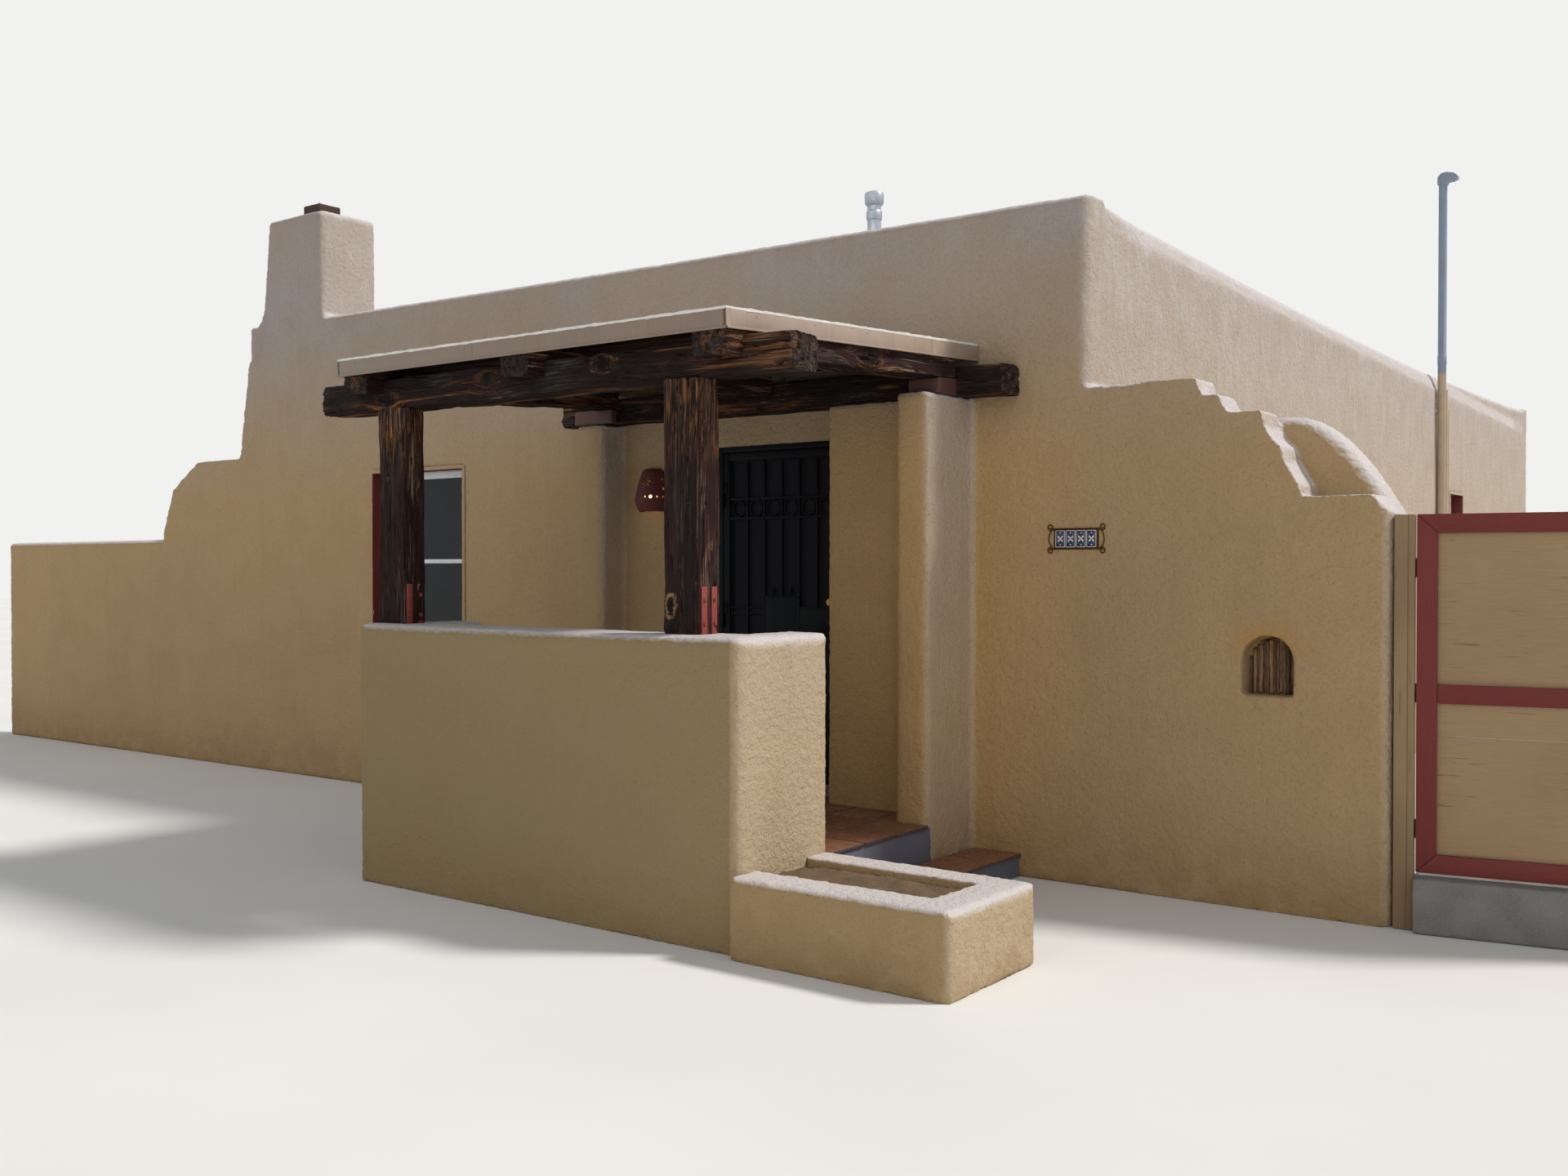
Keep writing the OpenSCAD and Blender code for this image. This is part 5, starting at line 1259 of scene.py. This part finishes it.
class DOOR_OT_adobe(bpy.types.Operator):
    """Builds the steel jambs, the barred security door and its knob"""
    bl_idname = "adobe.door"
    bl_label = "Security door"

    def execute(self, context):
        settings = context.scene.adobe_joinery
        enamel = enamel_material(settings)
        low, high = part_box("door_frame")
        left, right = RIGHT - 2.55, RIGHT - 1.56
        self.x0, self.x1 = left + 0.041, right - 0.041
        self.y0, self.z0, self.z1 = FRONT + 0.002, low.z + 0.006, high.z - 0.041
        self.frame(enamel, left, right, low, high)
        self.leaf(enamel)
        self.knob()
        return {"FINISHED"}

    def knuckle(self, z, side):
        x, y = self.x0 - 0.003, FRONT - 0.009
        parts = [rod("knuckle", (x, y, z), (x, y, z + 0.08), 0.008, 20)]
        if side > 0:
            parts.append(box("plate", (x, y + 0.005, z), (x + 0.035, y + 0.011, z + 0.08), 0.001))
            parts.append(rod("cap", (x, y, z + 0.08), (x, y, z + 0.086), 0.0065, 16, end_radius=0.003))
        else:
            parts.append(box("plate", (x - 0.035, y + 0.003, z), (x, y + 0.009, z + 0.08), 0.001))
            parts.append(rod("cap", (x, y, z), (x, y, z - 0.006), 0.0065, 16, end_radius=0.003))
        return parts

    def frame(self, enamel, left, right, low, high):
        stop, back = 0.055, high.y
        face = back - 0.014
        parts = [box("jamb", (left, FRONT, low.z), (left + 0.035, back, high.z), 0.002),
                 box("jamb", (right - 0.035, FRONT, low.z), (right, back, high.z), 0.002),
                 box("head", (left + 0.034, FRONT, high.z - 0.035), (right - 0.034, back, high.z), 0.002),
                 box("stop", (left + 0.034, face, low.z), (left + stop, back, high.z - 0.03), 0.002),
                 box("stop", (right - stop, face, low.z), (right - 0.034, back, high.z - 0.03), 0.002),
                 box("stop", (left + 0.034, face, high.z - stop), (right - 0.034, back, high.z - 0.034), 0.002)]
        for z in self.hinge_heights():
            parts += self.knuckle(z - 0.0803, -1)
        for x in (left + 0.012, right - 0.012):
            for z in (0.7, 1.3, 1.9, 2.3):
                parts.append(rod("screw", (x, FRONT + 0.001, z), (x, FRONT - 0.0015, z), 0.0055, 14))
        finish_piece(join("frame", parts), "door_jambs", "house", "black_steel", enamel, "door_frame", smooth=30)

    def hinge_heights(self):
        tall = self.z1 - self.z0
        return [self.z0 + z for z in (0.18, tall / 2, tall - 0.26)]

    def leaf(self, enamel):
        x0, x1, y0, z0, z1 = self.x0, self.x1, self.y0, self.z0, self.z1
        stile, deep, edge = 0.048, 0.034, 0.003
        bars, bar = 5, 0.014
        pitch = (x1 - x0 - 2 * stile) / (bars + 1)
        low_bar, gap = 2.015, 0.122
        kick = 1.53
        inner = (x0 + stile, x1 - stile)
        parts = [box("stile", (x, y0, z0), (x + stile, y0 + deep, z1), edge) for x in (x0, x1 - stile)]
        parts += [box("rail", (inner[0] - 0.001, y0 + 0.001, z), (inner[1] + 0.001, y0 + deep - 0.001, z + stile), edge)
                  for z in (z1 - stile, z0)]
        for a, b in ((inner[0], inner[0] + 0.012), (inner[1] - 0.012, inner[1])):
            parts.append(box("bead", (a, y0 + 0.012, z0 + stile), (b, y0 + 0.024, z1 - stile), 0.002))
        parts.append(box("bead", (inner[0], y0 + 0.012, z1 - stile - 0.012), (inner[1], y0 + 0.024, z1 - stile), 0.002))
        for i in range(1, bars + 1):
            x = inner[0] + pitch * i
            parts.append(box("bar", (x - bar / 2, y0 + 0.006, z0 + stile - 0.004),
                             (x + bar / 2, y0 + 0.020, z1 - stile + 0.004), 0.0015))
        for z in (low_bar, low_bar + gap):
            parts.append(box("cross_bar", (inner[0] - 0.003, y0 + 0.003, z), (inner[1] + 0.003, y0 + 0.016, z + bar),
                             0.0015))
        for i in range(bars + 1):
            centre = (inner[0] + pitch * (i + 0.5), y0 + 0.014, low_bar + (gap + bar) / 2)
            parts.append(ring("scroll_ring", centre, (gap - bar) / 2 - 0.005, 0.006, (math.pi / 2, 0, 0), (40, 10)))
        self.kick_panel(parts, inner, pitch, kick, bar)
        for z in self.hinge_heights():
            parts += self.knuckle(z, 1)
        screen = box("screen", (inner[0] - 0.004, y0 + 0.025, z0 + stile - 0.004),
                     (inner[1] + 0.004, y0 + 0.0275, z1 - stile + 0.004))
        screen.data.materials.append(screen_material())
        leaf = join("leaf", parts)
        leaf.data.materials.clear()
        leaf.data.materials.append(enamel)
        piece = join("door", [leaf, screen])
        finish_piece(piece, "security_door_leaf", "door_leaf", "black_steel", None, "security_door", smooth=30)

    def kick_panel(self, parts, inner, pitch, kick, bar):
        y0, z0, stile = self.y0, self.z0, 0.048
        a, b = inner[0] + 2 * pitch, inner[0] + 4 * pitch
        parts.append(box("kick_sheet", (a, y0 + 0.005, z0 + stile), (b, y0 + 0.0255, kick - 0.001), 0.001))
        for x in (a, b):
            parts.append(box("kick_edge", (x - 0.007, y0 + 0.003, z0 + stile - 0.002), (x + 0.007, y0 + 0.020, kick),
                             0.0015))
        parts.append(box("kick_edge", (a - 0.007, y0 + 0.003, kick - 0.010), (b + 0.007, y0 + 0.020, kick), 0.0015))
        for x in (a + 0.5 * pitch, a + 1.5 * pitch):
            spear = [(0, -0.002), (0.005, -0.002), (0.005, 0.014), (0.0085, 0.018), (0.0055, 0.022), (0.011, 0.031),
                     (0.0095, 0.042), (0.005, 0.056), (0, 0.068)]
            parts.append(lathe("spear", spear, 12, centre=(x, y0 + 0.016, kick)))
        x0, x1 = b + bar / 2, inner[1] + 0.004
        low, high = kick - 0.230, kick - 0.065
        parts.append(box("lock_plate", (x0, y0 + 0.005, low), (x1, y0 + 0.0255, high), 0.0015))
        for z in (low + 0.006, high - 0.006):
            parts.append(box("lock_edge", (x0 - 0.006, y0 + 0.0035, z - 0.006), (x1, y0 + 0.016, z + 0.006), 0.0015))
        for z in (kick - 0.075, kick - 0.115):
            parts.append(box("fret", (inner[0] - 0.002, y0 + 0.008, z), (a, y0 + 0.0255, z + 0.008), 0.001))

    def knob(self):
        low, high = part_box("door_knob")
        centre = (low + high) / 2
        brass = bare_metal("worn_brass", linear("#B08C4A"), 0.35)
        profile = [(0, 0), (0.028, 0), (0.0285, 0.003), (0.026, 0.007), (0.012, 0.009), (0.0105, 0.02), (0.0105, 0.034),
                   (0.018, 0.040), (0.0245, 0.047), (0.025, 0.053), (0.021, 0.060), (0.010, 0.0625), (0.006, 0.0615),
                   (0, 0.0615)]
        piece = lathe("knob", profile, 40)
        piece.rotation_euler = (math.pi / 2, 0, 0)
        piece.location = (centre.x, high.y, centre.z)
        piece = apply_place(piece)
        plate = box("cylinder_plate", (centre.x - 0.017, high.y - 0.005, centre.z + 0.05),
                    (centre.x + 0.017, high.y, centre.z + 0.11), 0.002)
        lock = rod("lock_cylinder", (centre.x, high.y - 0.002, centre.z + 0.08),
                   (centre.x, high.y - 0.012, centre.z + 0.08), 0.011, 24)
        finish_piece(join("knob", [piece, plate, lock]), "door_knob_set", "door_leaf", "brass", brass, "door_knob",
                     smooth=35)


# Lamp, plaque and niche

class FITTINGS_OT_adobe(bpy.types.Operator):
    """Builds the pierced lamp, the tiled plaque, the niche's sticks, the mast and the conduits"""
    bl_idname = "adobe.fittings"
    bl_label = "Wall fittings"

    def execute(self, context):
        settings = context.scene.adobe_fittings
        self.lamp(settings)
        self.plaque(settings)
        self.sticks(settings)
        self.mast()
        self.conduits()
        return {"FINISHED"}

    def lamp(self, settings):
        low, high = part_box("wall_lamp")
        centre = Vector(((low.x + high.x) / 2, high.y, low.z))
        tall = high.z - low.z
        profile = [(0.098, 0), (0.108, 0.010), (0.124, 0.045), (0.130, 0.072), (0.128, 0.095), (0.117, 0.150),
                   (0.102, 0.205), (0.090, 0.245), (0.078, tall - 0.014), (0.060, tall - 0.003), (0.035, tall),
                   (0, tall)]
        shell = lathe("lamp", profile, 48, angle=math.pi)
        if shell.data.polygons[0].normal.dot(shell.data.polygons[0].center) < 0:
            edit(shell, everything, bpy.ops.mesh.flip_normals)
        modifier(shell, "SOLIDIFY", thickness=0.009, offset=-1)
        holes = []

        def hole(turn, z, radius, squash=1.0, roll=0.0):
            """Cutter that points out of the shade, turned from the front toward the right by degrees."""
            out = Vector((math.sin(math.radians(turn)), -math.cos(math.radians(turn)), 0))
            cutter = rod("hole", (0, 0, 0), (0, 0, 0.08), radius, 20)
            cutter.scale = (squash, 1, 1)
            apply_place(cutter)
            cutter.matrix_world = (Matrix.Translation(out * 0.070 + Vector((0, 0, z)))
                                   @ out.to_track_quat("Z", "Y").to_matrix().to_4x4() @ Matrix.Rotation(roll, 4, "Z"))
            holes.append(apply_place(cutter))

        flower, petals, reach = (6, 0.197), 8, 0.027
        for i in range(petals):
            turn = i * math.tau / petals
            side = math.degrees(reach * math.cos(turn) / 0.104)
            hole(flower[0] + side, flower[1] + reach * math.sin(turn), 0.0105, 0.5, turn - math.pi / 2)
        hole(*flower, 0.0045)
        for turn, z, radius in ((72, 0.211, 0.009), (72, 0.149, 0.009), (-58, 0.211, 0.009), (-58, 0.149, 0.009),
                                (-68, 0.096, 0.0075), (-45, 0.096, 0.0075), (-24, 0.096, 0.0075), (-6, 0.096, 0.0075),
                                (10, 0.096, 0.0075), (29, 0.096, 0.011), (49, 0.096, 0.0075), (68, 0.096, 0.0075)):
            hole(turn, z, radius)
        cutters = join("holes", holes)
        modifier(shell, "BOOLEAN", object=cutters, operation="DIFFERENCE", solver="EXACT")
        bpy.data.objects.remove(cutters)
        shell.location = centre
        apply_place(shell)
        clay = mineral_material("painted_lamp_clay", settings.clay, 0.6, 0.006, 0.0008, 0.35)
        finish_piece(shell, "wall_lamp_shade", "house", "terracotta", clay, "wall_lamp", smooth=35)
        bulb = lathe("bulb", [(0, 0), (0.012, 0.002), (0.022, 0.012), (0.028, 0.03), (0.026, 0.048), (0.016, 0.066),
                              (0.013, 0.08), (0.013, 0.10), (0.0, 0.10)], 24, centre=centre + Vector((0, -0.055, 0.07)))
        material, add, place = new_material("frosted_lamp_bulb", 0.4)
        cover(material, "#F4E4C4", (grain(add, place, 0.01), 0.0003),
              **{"Emission Color": "#FFD08A", "Emission Strength": 6.0})
        finish_piece(bulb, "lamp_bulb", "house", "glass", material, smooth=60)

    def plaque(self, settings):
        low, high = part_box("number_plaque")
        centre = Vector(((low.x + high.x) / 2, high.y, (low.z + high.z) / 2))
        iron = bare_metal("rusted_iron", settings.iron, 0.55)
        half_w, half_h = 0.131, 0.058
        parts = [box("plate", (-half_w, -0.004, -half_h), (half_w, 0, half_h), 0.001)]
        for z in (-half_h + 0.004, half_h - 0.004):
            parts.append(rod("rim", (-half_w, -0.005, z), (half_w, -0.005, z), 0.0035, 10))
        for x in (-half_w + 0.004, half_w - 0.004):
            parts.append(rod("rim", (x, -0.005, -half_h), (x, -0.005, half_h), 0.0035, 10))
        bulge = 0.0305
        arc = (half_h ** 2 + bulge ** 2) / (2 * bulge)
        reach = math.asin(half_h / arc)
        bow = [(half_w + bulge - arc + arc * math.cos(a), arc * math.sin(a)) for a in
               [reach * (i / 6 - 1) for i in range(13)]]
        curl = [(half_w - 0.003, half_h - 0.004)]
        for i in range(18):
            a, r = math.radians(-100 + 25 * i), 0.0185 - 0.0007 * i
            curl.append((half_w + 0.020 + r * math.cos(a), half_h + 0.006 + r * math.sin(a)))
        for side in (-1, 1):
            for run in (bow, curl, [(x, -z) for x, z in curl]):
                curve = bpy.data.curves.new("scroll", "CURVE")
                curve.dimensions = "3D"
                curve.bevel_depth = 0.0033
                curve.bevel_resolution = 2
                curve.use_fill_caps = True
                curve.resolution_u = 4
                spline = curve.splines.new("NURBS")
                spline.points.add(len(run) - 1)
                for point, (x, z) in zip(spline.points, run):
                    point.co = (side * x, -0.0045, z, 1)
                spline.use_endpoint_u = True
                spline.order_u = 3
                scroll = bpy.data.objects.new("scroll", curve)
                bpy.context.collection.objects.link(scroll)
                only(scroll)
                bpy.ops.object.convert(target="MESH")
                parts.append(edit(bpy.context.object, outward))
        piece = join("plaque", parts)
        piece.location = centre
        finish_piece(piece, "plaque_ironwork", "house", "iron", iron, "number_plaque", smooth=40)
        self.plaque_tiles(settings, centre)

    def plaque_tiles(self, settings, centre):
        blue, add, place = new_material("blue_glazed_tile", 0.12, specular=0.6)
        cover(blue, coat(add, settings.glaze, ("#2A3568", grain(add, place, 0.02, detail=4), 0.5)))
        white, add, place = new_material("white_glazed_line", 0.15, specular=0.6)
        cover(white, coat(add, "#E6E4DC", ("#BDBBB4", grain(add, place, 0.008, detail=4), 0.4)))
        wide, tall, pitch = 0.0590, 0.094, 0.0605
        blues, whites = [], []
        for i in range(4):
            x = pitch * (i - 1.5)
            blues.append(box("tile", (x - wide / 2, -0.0095, -tall / 2), (x + wide / 2, -0.003, tall / 2), 0.0012))
            for a, b, c, d in ((-1, -1, 1, -0.93), (-1, 0.93, 1, 1), (-1, -1, -0.9, 1), (0.9, -1, 1, 1)):
                whites.append(box("line", (x + a * 0.028, -0.0101, b * 0.0455), (x + c * 0.028, -0.0093, d * 0.0455)))
            for turn in range(4):
                petal = rod("petal", (0, 0, -0.0004), (0, 0, 0.0004), 0.0075, 20)
                petal.scale = (0.55, 1.25, 1)
                apply_place(petal)
                angle = turn * math.pi / 2 + math.pi / 4
                spot = Vector((x + 0.0125 * math.cos(angle), -0.0098, 0.0125 * math.sin(angle)))
                petal.matrix_world = (Matrix.Translation(spot) @ Matrix.Rotation(math.pi / 2, 4, "X")
                                      @ Matrix.Rotation(angle - math.pi / 2, 4, "Z"))
                whites.append(apply_place(petal))
            for z in (-0.032, 0.0, 0.032):
                gem = rod("gem", (x, -0.0094, z), (x, -0.0102, z), 0.0045, 4)
                whites.append(gem)
        for group, name, made in ((blues, "plaque_tiles", blue), (whites, "plaque_tile_lines", white)):
            piece = join(name, group)
            piece.location = centre
            finish_piece(piece, name, "house", "iron", made, smooth=30)

    def sticks(self, settings):
        """Stands split sticks of many widths in two rows against the niche's back, up to its arch."""
        low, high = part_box("niche_sticks")
        chance = random.Random(6)
        arch = (high.x - low.x) / 2
        made = []
        for row in range(2):
            x = low.x + 0.004 * row
            while x < high.x - 0.006:
                wide = min(chance.uniform(0.011, 0.024), high.x - x)
                middle = x + wide / 2
                reach = min(0.97, (abs(middle - low.x - arch) + 0.35 * wide) / arch)
                top = high.z - arch + arch * math.sqrt(1 - reach * reach) - chance.uniform(0.0, 0.012) - 0.014 * row
                back = high.y - 0.002 - 0.012 * row
                base = low.z + chance.uniform(0.0, 0.008)
                stick = grid_box("stick", (x + 0.0008, back - 0.016, base), (x + wide - 0.0008, back, top),
                                 (0.005, 0.005, 0.012))
                modifier(stick, "SMOOTH", factor=0.8, iterations=3)
                displace(stick, clouds("bark", 0.010, 2), 0.007, stretch=(1, 1, 9))
                displace(stick, clouds("bends", 0.10, 1), 0.010, direction="X")
                fire(stick, chance.random())
                made.append(stick)
                x += wide * chance.uniform(0.9, 1.0 + 0.9 * row)
        material, add, place = new_material("bare_niche_sticks", 0.85, specular=0.15)
        weathered = add("Attribute", attribute_name="fired", out="Fac")
        fibres = grain(add, place, 0.003, (1, 1, 16), 0.38, 0.62, 4)
        cover(material, coat(add, "#2A1C16", (settings.sticks, weathered), ("#B58F68", fibres, weathered, 0.9)),
              (fibres, 0.002))
        finish_piece(join("sticks", made), "niche_stick_row", "house", "sticks", material, "niche_sticks", smooth=60)

    def mast(self):
        low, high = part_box("service_mast")
        r = 0.038
        x, y, top = RIGHT + r + 0.006, (low.y + high.y) / 2, high.z
        wall_paint = linear("#B8A48C")
        paint = painted_metal("grey_mast_paint", linear("#8491A6"), 0.45, foot=(wall_paint, 3.56))
        parts = [lathe("mast", [(0, 0), (r, 0), (r, 3.66), (r + 0.003, 3.664), (r + 0.003, 3.74), (r, 3.744),
                                (r, top - 0.10), (0, top - 0.10)], 32, centre=(x, y, 0))]
        hood = outline("hood", [(-0.044, 0), (0.044, 0), (0.044, 0.022), (0.136, 0.040), (0.136, 0.074),
                                (0.100, 0.104), (0.034, 0.120), (-0.012, 0.114), (-0.044, 0.078)], 0.088)
        modifier(hood, "BEVEL", width=0.012, segments=3, limit_method="ANGLE")
        hood.location = (x, y - 0.044, top - 0.120)
        parts.append(apply_place(hood))
        for side in (-1, 0, 1):
            parts.append(rod("bushing", (x + 0.092, y + 0.024 * side, top - 0.094),
                             (x + 0.096, y + 0.024 * side, top - 0.082), 0.009, 14))
        for side in (-1, 1):
            parts.append(rod("hood_screw", (x - 0.01, y + 0.044 * side, top - 0.105),
                             (x - 0.01, y + 0.048 * side, top - 0.105), 0.005, 10))
        for z in (0.9, 2.1, 3.2):
            parts.append(ring("clamp", (x, y, z + 0.02), r + 0.002, 0.004, sides=(32, 8)))
            parts.append(box("clamp_foot", (RIGHT - 0.004, y - 0.055, z), (RIGHT + 0.010, y + 0.055, z + 0.04), 0.002))
            for side in (-1, 1):
                parts.append(rod("clamp_bolt", (RIGHT + 0.008, y + 0.047 * side, z + 0.02),
                                 (RIGHT + 0.018, y + 0.047 * side, z + 0.02), 0.006, 6))
        finish_piece(join("mast", parts), "service_mast_pipe", "house", "mast_paint", paint, "service_mast", smooth=40)

    def conduits(self):
        low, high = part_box("wall_conduits")
        paint = painted_metal("painted_conduit", linear("#C4AE92"), 0.55)
        parts = []
        for y, top in (((low.y + high.y) / 2 - 0.030, high.z), ((low.y + high.y) / 2 + 0.030, high.z - 0.18)):
            x = RIGHT + 0.014
            profile = [(0, 0), (0.014, 0)]
            for z in (0.6, 1.45, 2.72):
                profile += [(0.014, z), (0.0175, z + 0.003), (0.0175, z + 0.055), (0.014, z + 0.058)]
            profile += [(0.014, top - 0.02), (0.010, top - 0.004), (0, top)]
            parts.append(lathe("conduit", profile, 20, centre=(x, y, 0)))
            for z in (1.2, 2.1, 2.9):
                parts.append(box("strap", (RIGHT - 0.002, y - 0.030, z), (RIGHT + 0.004, y + 0.030, z + 0.022), 0.001))
                parts.append(ring("strap_bow", (x, y, z + 0.011), 0.0155, 0.002, sides=(20, 6)))
        finish_piece(join("conduits", parts), "conduit_pair", "house", "conduit_paint", paint, "wall_conduits",
                     smooth=40)


# Gate

class GATE_OT_adobe(bpy.types.Operator):
    """Builds the gate's boards, plywood, posts and hinges"""
    bl_idname = "adobe.gate"
    bl_label = "Gate"

    def place(self, piece):
        """Turns a piece modelled along the gate's line into its place."""
        return stand(piece, (RIGHT + 1.565, FRONT + 0.010, 0), GATE_SKEW)

    def execute(self, context):
        settings = context.scene.adobe_joinery
        x0, wide, z0, tall, board, thick = 0.098, 1.22, 0.276, 1.682, 0.089, 0.019
        x1, z1 = x0 + wide, z0 + tall
        gap = 0.0012
        rails = []
        for z, sign in ((z1, -1), (z0, 1)):
            rails.append(outline("rail", [(x0 + gap, z), (x1 - gap, z), (x1 - board - gap, z + sign * board),
                                          (x0 + board + gap, z + sign * board)], thick))
        stiles = []
        for x, sign in ((x0, 1), (x1, -1)):
            stiles.append(outline("stile", [(x, z0 + gap), (x, z1 - gap), (x + sign * board, z1 - board - gap),
                                            (x + sign * board, z0 + board + gap)], thick))
        z = z0 + 0.797
        rails.append(box("rail", (x0 + board + 0.004, 0, z), (x1 - board - 0.003, thick, z + board)))
        for part in rails + stiles:
            modifier(part, "BEVEL", width=settings.board_edge, segments=2, limit_method="ANGLE")
        for name, group, axis in (("gate_rail_boards", rails, 0), ("gate_stile_boards", stiles, 2)):
            paint = red_paint_material("red_gate_paint_" + "xyz"[axis], settings.red_paint, axis)
            piece = self.place(join(name, group))
            finish_piece(piece, name, "gate_leaf", "red_wood", paint, "gate_frame", smooth=30)
        self.panels(settings, x0, x1, z0, z1, z, thick)
        self.posts(settings)
        steel = painted_metal("painted_hinge_steel", linear("#7C5A48"), 0.5)
        piece = self.place(join("hinges", self.knuckles(z0, tall, -1)))
        finish_piece(piece, "gate_hinge_plates", "house", "hinge_steel", steel, "gate_hinges", smooth=30)
        piece = self.place(join("hinges", self.knuckles(z0, tall, 1)))
        finish_piece(piece, "gate_hinge_straps", "gate_leaf", "hinge_steel", steel, "gate_panels", smooth=30)
        return {"FINISHED"}

    def knuckles(self, z0, tall, side):
        """The leaf's halves of the hinges at its rear, or the post's where the side is -1."""
        x, y = 0.0995, 0.0443
        parts = []
        for z in (z0 + 0.2, z0 + tall / 2, z0 + tall - 0.25):
            low = z if side > 0 else z - 0.0453
            parts.append(rod("knuckle", (x, y, low), (x, y, low + 0.045), 0.009, 20))
            if side > 0:
                plate = ((x, 0.035, low), (x + 0.07, 0.040, low + 0.045))
                screws = [((x + out, 0.039, low + up), (x + out, 0.042, low + up)) for out in (0.030, 0.055)
                          for up in (0.011, 0.034)]
            else:
                plate = ((0.090, 0.0398, low), (0.095, 0.081, low + 0.045))
                screws = [((0.094, back, low + up), (0.097, back, low + up)) for back in (0.060, 0.072)
                          for up in (0.011, 0.034)]
            parts.append(box("plate", *plate, 0.001))
            parts += [rod("screw", *ends, 0.0045, 10) for ends in screws]
        return parts

    def panels(self, settings, x0, x1, z0, z1, rail, thick):
        seam = rail - 0.155
        parts = []
        for low, high in ((z0, seam - 0.001), (seam + 0.001, z1)):
            parts.append(box("ply", (x0, thick, low), (x1, thick + 0.016, high), 0.0012))
        for part in parts:
            modifier(part, "SUBSURF", subdivision_type="SIMPLE", levels=2, render_levels=2)
            displace(part, clouds("ply_warp", 0.5, 1), 0.003, direction="Y")
        material = panel_material("painted_plywood", tuple(settings.panel), (18, 18, 1))
        finish_piece(self.place(join("ply", parts)), "gate_plywood", "gate_leaf", "gate_timber", material,
                     "gate_panels", smooth=30)

    def posts(self, settings):
        # The posts' colour is drawn darker than the wall paint on them: painted shade
        material = panel_material("painted_gate_posts", linear("#8A7355"), (1, 1, 18))
        tall = 0.276 + 1.682
        for node, x in (("gate_hinge_post", 0.0), ("gate_latch_post", 1.326)):
            facings = ((0.0, 0.058), (0.061, 0.090)) if node == "gate_hinge_post" else ((0.0, 0.090),)
            parts = [box("post", (x, 0.004, 0), (x + 0.09, 0.09, tall), 0.003)]
            for a, b in facings:
                parts.append(box("facing", (x + a, 0, 0.003), (x + b, 0.012, tall - 0.001), 0.002))
            piece = self.place(join(node, parts))
            finish_piece(piece, node + "_timber", "house", "gate_timber", material, node, smooth=30)


# The add-on's panel and registration

class ADOBE_PT_panel(bpy.types.Panel):
    """Lists the steps that build the house"""
    bl_label = "Adobe House"
    bl_space_type = "VIEW_3D"
    bl_region_type = "UI"
    bl_category = "Adobe House"

    def draw(self, context):
        for step in STEPS:
            self.layout.operator(step.bl_idname)
        for group in SETTINGS:
            box_layout = self.layout.box()
            for name in group.__annotations__:
                box_layout.prop(getattr(context.scene, SETTINGS[group]), name)


SETTINGS = {StuccoSettings: "adobe_stucco", TimberSettings: "adobe_timber", RoofSettings: "adobe_roof",
            FloorSettings: "adobe_floor", JoinerySettings: "adobe_joinery", FittingSettings: "adobe_fittings"}
STEPS = (STAGE_OT_adobe, WALLS_OT_adobe, PORTAL_OT_adobe, ROOF_OT_adobe, FLOOR_OT_adobe, WINDOWS_OT_adobe,
         DOOR_OT_adobe, FITTINGS_OT_adobe, GATE_OT_adobe)


def register():
    """Registers the settings, steps and panel."""
    for group, name in SETTINGS.items():
        bpy.utils.register_class(group)
        setattr(bpy.types.Scene, name, PointerProperty(type=group))
    for made in (*STEPS, ADOBE_PT_panel):
        bpy.utils.register_class(made)


def unregister():
    """Takes the add-on's classes out again."""
    for made in (ADOBE_PT_panel, *reversed(STEPS)):
        bpy.utils.unregister_class(made)
    for group, name in SETTINGS.items():
        delattr(bpy.types.Scene, name)
        bpy.utils.unregister_class(group)


def main():
    """Builds the house."""
    register()
    for step in STEPS:
        area, name = step.bl_idname.split(".")
        getattr(getattr(bpy.ops, area), name)()


if __name__ == "__main__":
    main()
